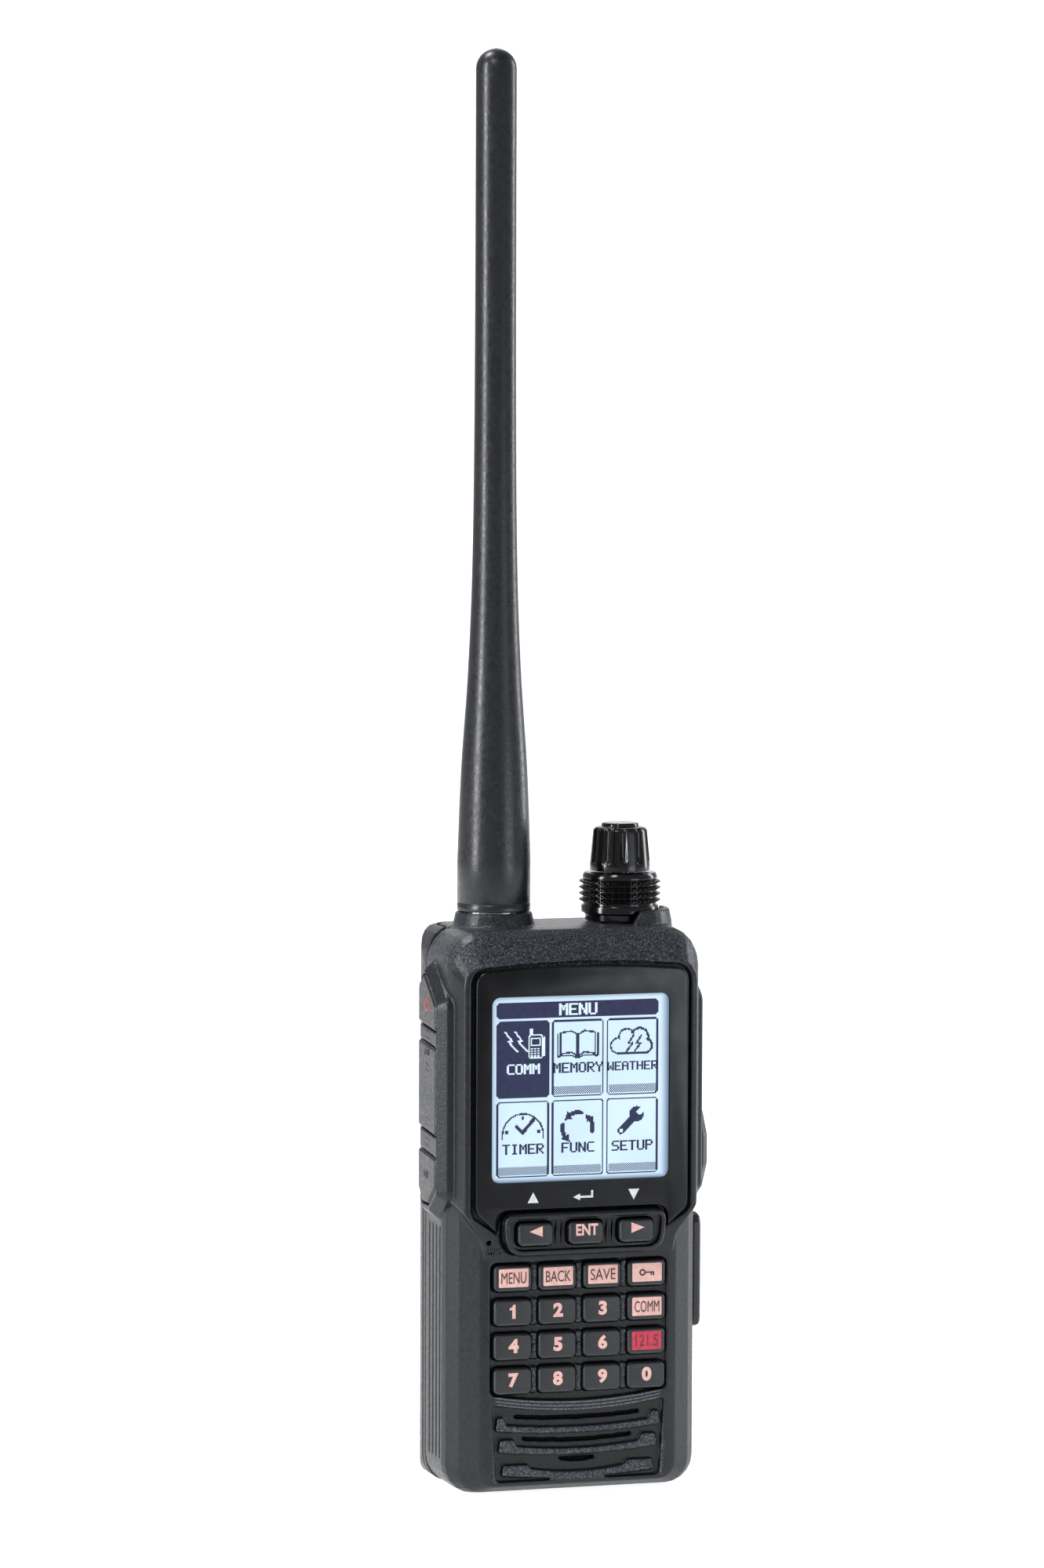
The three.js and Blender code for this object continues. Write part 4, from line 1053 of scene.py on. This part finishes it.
def make_keypad():
    front = KEY["front"]
    for row, z in zip(KEYPAD, KEY_Z):
        for (name, words), x in zip(row, KEY_X):
            key = Piece(name + "_cap", name, "key", (name,))
            key.add(
                cushion_slab(
                    KEY["width"], KEY["height"], KEY["radius"], x, z, KEY["back"], front, 0.55, 6
                ), "key_rubber"
            )
            if words == "1":
                one = [
                    (0.45, -1.65), (0.45, 1.65), (-0.1, 1.65), (-0.35, 1.1), (-0.95, 0.85), (-0.95, 0.3),
                    (-0.35, 0.5), (-0.35, -1.65)
                ]
                key.add(
                    plate(one, front + 0.02, front - 0.05, (x + LEGEND_SHIFT, z + 0.3)), "legend_salmon",
                    False
                )
            elif len(words) == 1:
                key.add(
                    lettering(
                        words, 3.35, (x + LEGEND_SHIFT, front + 0.02, z + 0.3), bold=0.05, narrow=1.06
                    ), "legend_salmon", False
                )
            else:
                red = name == "key_emergency"
                face = "legend_red" if red else "legend_salmon"
                key.add(
                    cushion_slab(
                        7.3, 4.4, 0.3, x + LEGEND_SHIFT, z + 0.15, front + 0.3, front - 0.04, 0.08, 3
                    ), face
                )
                if words:
                    key.add(
                        lettering(
                            words, 2.65, (x + LEGEND_SHIFT, front - 0.035, z + 0.15),
                            wide=5.6 if red else 6.1
                        ),
                        "legend_maroon" if red else "legend_brown", False,
                    )
                else:
                    lock_legend(key, x + LEGEND_SHIFT, z + 0.15, front - 0.035)
            key.done()

    # Tactile dots on the webs each side of the middle key.
    dots = Piece("tactile_dots", "case", "case")
    for x in (-10.95, 0.0):
        dome = [(0.62 * math.cos(t), 0.45 * math.sin(t)) for t in (i / 6 * math.pi / 2 for i in range(6))]
        rings = []
        for radius, rise in [(0.62, -0.4), *dome, (0.03, 0.45)]:
            rings.append([(x + radius * c, WEB_FRONT - rise, KEY_Z[2] + radius * s) for c, s in circle(20)])
        dots.add(loft(rings), "key_rubber")
    dots.done()


NAV = {"x": 0.4, "z": 62.3, "pitch": 12.4, "width": 8.5, "height": 5.3, "front": -20.5}


def make_nav():
    bezel = moulded("nav_bezel", 0.16, 5, 0.22)
    frame_piece = Piece("nav_frame", "case", "case", ("nav_bezel",)).add(bezel, "moulded_case")
    frame_piece.materials.append("dish_black")
    dish_y, dish_half, dish_low, dish_high = -19.75, 19.3, 57.9, 66.7
    frame_piece.bm.faces.ensure_lookup_table()
    for face in frame_piece.bm.faces:
        middle = face.calc_center_median()
        sunk = middle.y > dish_y * MM and abs(middle.x - NAV["x"] * MM) < dish_half * MM
        if sunk and dish_low * MM < middle.z < dish_high * MM:
            face.material_index = 1
    for x in (NAV["x"] - NAV["pitch"] / 2, NAV["x"] + NAV["pitch"] / 2):
        for side in (-0.75, 0.75):
            pillar = [
                (x + side * 0.9, -18.75, NAV["z"] - 2.7), (x + side, -18.95, NAV["z"]),
                (x + side * 0.9, -18.75, NAV["z"] + 2.7)
            ]
            frame_piece.add(sweep(pillar, 0.42, 10), "dish_black")
    frame_piece.done(50)

    legends = {
        "nav_left": [(-1.7, 0.0), (1.5, -1.25), (1.5, 1.25)],
        "nav_right": [(-1.5, -1.25), (1.7, 0.0), (-1.5, 1.25)],
    }
    front = NAV["front"]
    for i, name in enumerate(("nav_left", "nav_enter", "nav_right")):
        x = NAV["x"] + (i - 1) * NAV["pitch"]
        key = Piece(name + "_cap", name, "key", (name,))
        key.add(
            cushion_slab(NAV["width"], NAV["height"], 1.25, x, NAV["z"], -13.4, front, 0.6, 6), "key_rubber"
        )
        if name in legends:
            key.add(
                plate(legends[name], front + 0.02, front - 0.04, (x + LEGEND_SHIFT, NAV["z"] + 0.75)),
                "legend_salmon", False
            )
        else:
            key.add(
                lettering(
                    "ENT", 2.75, (x + LEGEND_SHIFT, front + 0.02, NAV["z"] + 0.75), bold=0.03, wide=5.4
                ), "legend_salmon", False
            )
        key.done()


# ---------------------------------------------------------------- side keys, covers


def ring_path(y, z, radius, x, start, end, steps=40):
    """Part of a circle on the left side, between two angles in degrees."""
    made = []
    for i in range(steps + 1):
        t = math.radians(start + (end - start) * i / steps)
        made.append((x, y + radius * math.cos(t), z + radius * math.sin(t)))
    return made


def torus(y, z, radius, x, thick, sides=10, steps=48):
    rings = []
    for i in range(steps):
        t = 2 * math.pi * i / steps
        ring = []
        for k in range(sides):
            a = 2 * math.pi * k / sides
            r = radius + thick * math.cos(a)
            ring.append((x - thick * 0.8 * math.sin(a), y + r * math.cos(t), z + r * math.sin(t)))
        rings.append(ring)
    rings.append(rings[0])
    return weld(loft(rings, caps=False))


def make_side_keys():
    face = -33.8
    out = (-1, 0, 0)
    power = moulded_piece("power_cap", "power_key", "power_key", "rubber", "soft_rubber", 0.14, 5, 0.2)
    mark_y, mark_x = -3.9, face + 0.05
    power.add(sweep(ring_path(mark_y, 115.2, 1.45, mark_x, 125, 415), 0.17, 8, 1, out), "power_red")
    power.add(sweep([(mark_x, mark_y, z) for z in (115.3, 116.2, 117.1)], 0.17, 8, 1, out), "power_red")
    power.done(50)

    ptt = moulded_piece("ptt_cap", "ptt_key", "ptt_key", "rubber", "soft_rubber", 0.15, 5, 0.2)
    for radius in (1.3, 2.6, 3.9):
        ptt.add(torus(-4.0, 94.0, radius, face + 0.24, 0.34), "soft_rubber")
    for end, rise in ((99.6, 1), (88.4, -1)):
        for step in range(2):
            z = end + rise * step * 1.5
            path = [(face + 0.22, y, z + lift) for y, lift in ((-9.6, -0.5), (-4.0, 0), (2.2, 0.5))]
            ptt.add(sweep(path, 0.34, 8, 1, out), "soft_rubber")
    ptt.add(lettering("PTT", 1.7, (face + 0.02, -4.0, 104.2), LEFT, 0.14, bold=0.02), "rear_plastic", False)
    ptt.done(50)

    squelch = moulded_piece(
        "squelch_cap", "squelch_key", "squelch_key", "rubber", "soft_rubber", 0.14, 5, 0.2
    )
    squelch.add(
        lettering("SQL", 1.8, (face + 0.02, -3.2, 75.0), LEFT, 0.14, bold=0.02), "rear_plastic", False
    )
    squelch.done(50)

    # Slanted ribs on the frame between the keys.
    ribs = Piece("side_ribs", "case", "case")
    for z in (107.6, 109.0, 82.2, 83.7):
        slope = 0.9
        path = [(-33.35, -10.0, z - slope), (-33.45, -4.0, z - slope / 3), (-33.35, 2.6, z + slope / 2)]
        ribs.add(sweep(path, 0.28, 8, 1, out), "moulded_case")
    ribs.done()


def make_covers():
    out = (1, 0, 0)
    audio = moulded_piece(
        "audio_cover", "audio_jack_cover", "audio_cover", "rubber", "soft_rubber", 0.17, 6, 0.22
    )
    for y in (-6.4, -5.2, -4.0):
        audio.add(
            sweep([(34.28, y, 75.4), (34.36, y, 79), (34.28, y, 82.6)], 0.26, 8, 0.15, out), "soft_rubber"
        )
    audio.done(50)
    dc = moulded_piece("dc_cover", "dc_jack_cover", "dc_cover", "rubber", "soft_rubber", 0.15, 6, 0.22)
    dc.add(lettering("DC", 2.0, (33.17, -2.2, 50.0), RIGHT, 0.03, bold=0.02), "print_black", False)
    dc.done(50)


# ---------------------------------------------------------------- knobs and antenna

KNOB = (15.6, 2.5)
KNOB_TURN = -28.0  # degrees that the slot is turned from the front
ANTENNA = (-15.6, 2.5)


def knob_mesh():
    """A tapered knob with flutes that start in a scoop, and a slot in its rim that marks its position."""
    outline = [(7.0, 145.2), (7.12, 145.3), (7.15, 145.6), (7.15, 146.3)]
    steps = 30
    outline += [(7.15 - 0.75 * i / steps, 146.4 + 8.2 * i / steps) for i in range(steps + 1)]
    outline += [
        (6.32, 154.85), (6.1, 155.15), (5.75, 155.4), (5.3, 155.55), (4.75, 155.62), (4.5, 155.68),
        (4.4, 155.85), (4.36, 156.2), (4.2, 156.42), (3.9, 156.5), (2.2, 156.5)
    ]
    flutes, segments = 10, 360
    scoop_low, scoop_high, scoop_rise, flute_depth = 147.0, 155.3, 1.6, 0.78
    spacing, flute_half = 360 / flutes, 7.5  # degrees
    slot_low, slot_inner, slot_half, slot_depth = 146.8, 3.0, 2.6, 0.6
    rings = []
    for radius, z in outline:
        ring = []
        for i in range(segments):
            turn = 360 * i / segments
            off = (turn + 90 - KNOB_TURN + 180) % 360 - 180  # degrees from the slot
            cut = 0.0
            if scoop_low < z < scoop_high:
                rise = min(1.0, (z - scoop_low) / scoop_rise)
                fade = 1 - 0.45 * (z - scoop_low) / (scoop_high - scoop_low)
                reach = flute_depth * math.sqrt(max(0.0, 1 - (1 - rise) ** 2)) * fade
                near = abs(off % spacing - spacing / 2)
                if near < flute_half:
                    cut = reach * math.cos(near / flute_half * math.pi / 2) ** 0.8
            if z > slot_low and abs(off) < slot_half and radius > slot_inner:
                cut = max(cut, slot_depth)
            here = radius - cut
            a = math.radians(turn)
            ring.append((KNOB[0] + here * math.cos(a), KNOB[1] + here * math.sin(a), z))
        rings.append(ring)
    return loft(rings)


def make_knobs():
    knob = Piece("volume_cap", "volume", "gloss_black", ("volume_knob",)).add(knob_mesh(), "gloss_black")
    knob.done(32)

    ring = Piece("dial_knurl", "dial", "gloss_black", ("dial_ring",))
    low, rows, pitch, around = 137.5, 4, 1.45, 36
    high = low + rows * pitch
    ring.add(
        revolve(
            [(3.2, 141.2), (7.2, 141.2), (7.2, 133.4), (8.1, 133.4), (8.25, 133.6), (8.3, 134.9),
            (8.6, 135.15), (9.1, 135.3),
             (9.2, 135.45), (9.2, 136.8), (9.1, 137.0), (8.7, 137.1), (8.65, low), (8.65, high),
             (8.85, high + 0.1),
             (8.9, high + 0.35), (8.75, 144.2), (8.45, 144.7), (8.2, 144.8), (3.2, 144.8)],
            96, *KNOB, closed=True,
        ),
        "gloss_black",
    )
    points, faces = [], []
    shallow, proud = 8.6, 9.74
    for row in range(rows):
        for i in range(around):
            n = len(points)
            z0, z1 = low + row * pitch, low + (row + 1) * pitch
            a0, a1 = 2 * math.pi * i / around, 2 * math.pi * (i + 1) / around
            corners = [(a0, z0), (a1, z0), (a1, z1), (a0, z1)]
            for depth in (shallow, shallow - 0.4):
                points += [
                    (KNOB[0] + depth * math.cos(a), KNOB[1] + depth * math.sin(a), z) for a, z in corners
                ]
            middle, half = (a0 + a1) / 2, (z0 + z1) / 2
            points.append((KNOB[0] + proud * math.cos(middle), KNOB[1] + proud * math.sin(middle), half))
            faces += [(n + k, n + (k + 1) % 4, n + 8) for k in range(4)]
            faces += [(n + (k + 1) % 4, n + k, n + 4 + k, n + 4 + (k + 1) % 4) for k in range(4)]
            faces.append((n + 7, n + 6, n + 5, n + 4))
    ring.add(mesh_of(points, faces), "gloss_black", False)
    ring.done(32)


def make_antenna():
    foot, tip, dome_low, dome_rise = 8.65, 4.78, 333.6, 4.7
    taper = smooth_curve(
        [(foot, 148), (7.8, 170), (6.2, 194), (5.25, 221), (4.88, 263), (tip, dome_low)], 9
    )
    turns = [i / 10 * math.pi / 2 for i in range(1, 10)]
    dome = [(tip * math.cos(t), dome_low + dome_rise * math.sin(t)) for t in turns]
    boot = [
        (7.5, 148.3), (7.5, 136.4), (8.4, 136.4), (8.58, 136.5), (foot, 136.75), (foot, 138.1),
        (8.56, 138.2), (8.5, 138.35),
        (8.56, 138.5), (8.64, 138.6),
    ]
    profile = [(2.2, 331.0), (2.2, 148.3), *boot, *taper, *dome, (0.25, 338.34), (0.25, 331.0)]
    antenna = Piece("antenna_boot", "antenna", "rubber", ("antenna_jacket",))
    antenna.add(revolve(profile, 96, *ANTENNA, closed=True), "antenna_rubber")
    antenna.done(50)


# ---------------------------------------------------------------- back hardware


def screw_mesh(x, z, tip, seat, radius, rise):
    """A pan head with a cross recess, along +Y."""
    profile = [
        (0.05, tip), (0.7, tip), (1.2, tip + 0.9), (1.2, seat), (radius * 0.96, seat),
        (radius, seat + 0.08),
        (radius, seat + rise * 0.5), (radius * 0.94, seat + rise * 0.75),
        (radius * 0.78, seat + rise * 0.93),
        (radius * 0.55, seat + rise), (0.05, seat + rise),
    ]
    head = revolve(profile, 48)
    for v in head.vertices:
        v.co = Vector((v.co.x + x * MM, v.co.z, v.co.y + z * MM))
    outward(head)
    cross = bmesh.new()
    arm, half = radius * 0.58, radius * 0.12
    for wide, tall in ((arm, half), (half, arm)):
        recess = loft([
            [(x + sx * wide, seat + rise + 0.3, z + sz * tall) for sx, sz in CORNERS],
            [(x + sx * wide * 0.6, seat + rise * 0.35, z + sz * tall * 0.6) for sx, sz in CORNERS],
        ])
        cross.from_mesh(recess)
    cutter_mesh = bpy.data.meshes.new("cutter")
    cross.to_mesh(cutter_mesh)
    cross.free()
    cutter = bpy.data.objects.new("cutter", cutter_mesh)
    bpy.context.scene.collection.objects.link(cutter)
    made = applied(
        head,
        ("BOOLEAN", {"operation": "DIFFERENCE", "object": cutter, "solver": "EXACT", "use_self": True})
    )
    bpy.data.objects.remove(cutter)
    made.materials.clear()
    return made


def make_back():
    for side, x in (("left", -1), ("right", 1)):
        Piece(f"case_bolt_{side}", "case", "steel", (f"case_screw_{side}",)).add(
            screw_mesh(x * 23, 98, 0, 16.1, 2.3, 1.1), "dark_steel").done(30)
        Piece(f"clip_bolt_{side}", "battery", "steel", (f"clip_screw_{side}",)).add(
            screw_mesh(x * 6, 67, 16.2, 19.5, 2.3, 1.2), "dark_steel").done(30)
    moulded_piece("clip_tongue", "belt_clip", "clip", "case", "rear_plastic", 0.24, 6, 0.2).done(50)
    moulded_piece("clip_mount", "clip_bracket", "battery", "steel", "dark_steel", 0.18, 4, 0.2).done(50)
    moulded_piece("latch_slider", "battery_latch", "latch", "rubber", "soft_rubber", 0.13, 4, 0.2).done(50)


# ---------------------------------------------------------------- finishes of the parts that stay as modelled

FINISHES = {
    "lcd_module": "connector_plastic", "lcd_backlight": "legend_white", "main_board": "board_green",
    "rf_shield": "steel", "keypad_mat": "soft_rubber", "speaker": "dark_steel",
    "speaker_mesh": "speaker_cloth",
    "microphone": "dark_steel", "encoder": "steel", "encoder_nut": "steel", "antenna_jack": "nickel",
    "audio_jack": "connector_plastic", "dc_jack": "connector_plastic", "contact_block": "nickel",
    "antenna_core": "steel", "antenna_plug": "nickel", "volume_shaft": "steel", "dial_sleeve": "steel",
    "battery_cover": "rear_plastic", "battery_cells": "cell_blue", "clip_pin": "steel",
}


def finish_nodes():
    for name, material in FINISHES.items():
        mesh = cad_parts[name].data
        mesh.materials.clear()
        mesh.materials.append(MATERIALS[material])


# ---------------------------------------------------------------- the scene

make_camera()
make_materials()
make_stage()
world = bpy.data.worlds.new("studio")
bpy.context.scene.world = world
world.use_nodes = True
world.node_tree.nodes["Background"].inputs[0].default_value = (0.92, 0.95, 1.0, 1)
world.node_tree.nodes["Background"].inputs[1].default_value = 0.25
bpy.context.scene.view_settings.view_transform = "Standard"
area_light("key", (-0.8, -1.0, 1.5), 8, 0.4, 0.4)
area_light("top", (-0.5, 0.45, 1.5), 12, 0.5, 0.5)
area_light("right_strip", (1.4, 0.30, 0.35), 10, 0.28, 1.2, (0.93, 0.96, 1.0))
area_light("left_strip", (-1.4, -0.28, 0.4), 20, 0.22, 1.2)
area_light(
    "lens_card", (0.26, -0.42, 0.10), 0.4, 0.22, 0.16, (0.84, 0.91, 1.0), Vector((0.02, -0.018, 0.10))
)

make_case()
make_lens()
make_display()
make_keypad()
make_nav()
make_side_keys()
make_covers()
make_knobs()
make_antenna()
make_back()
finish_nodes()
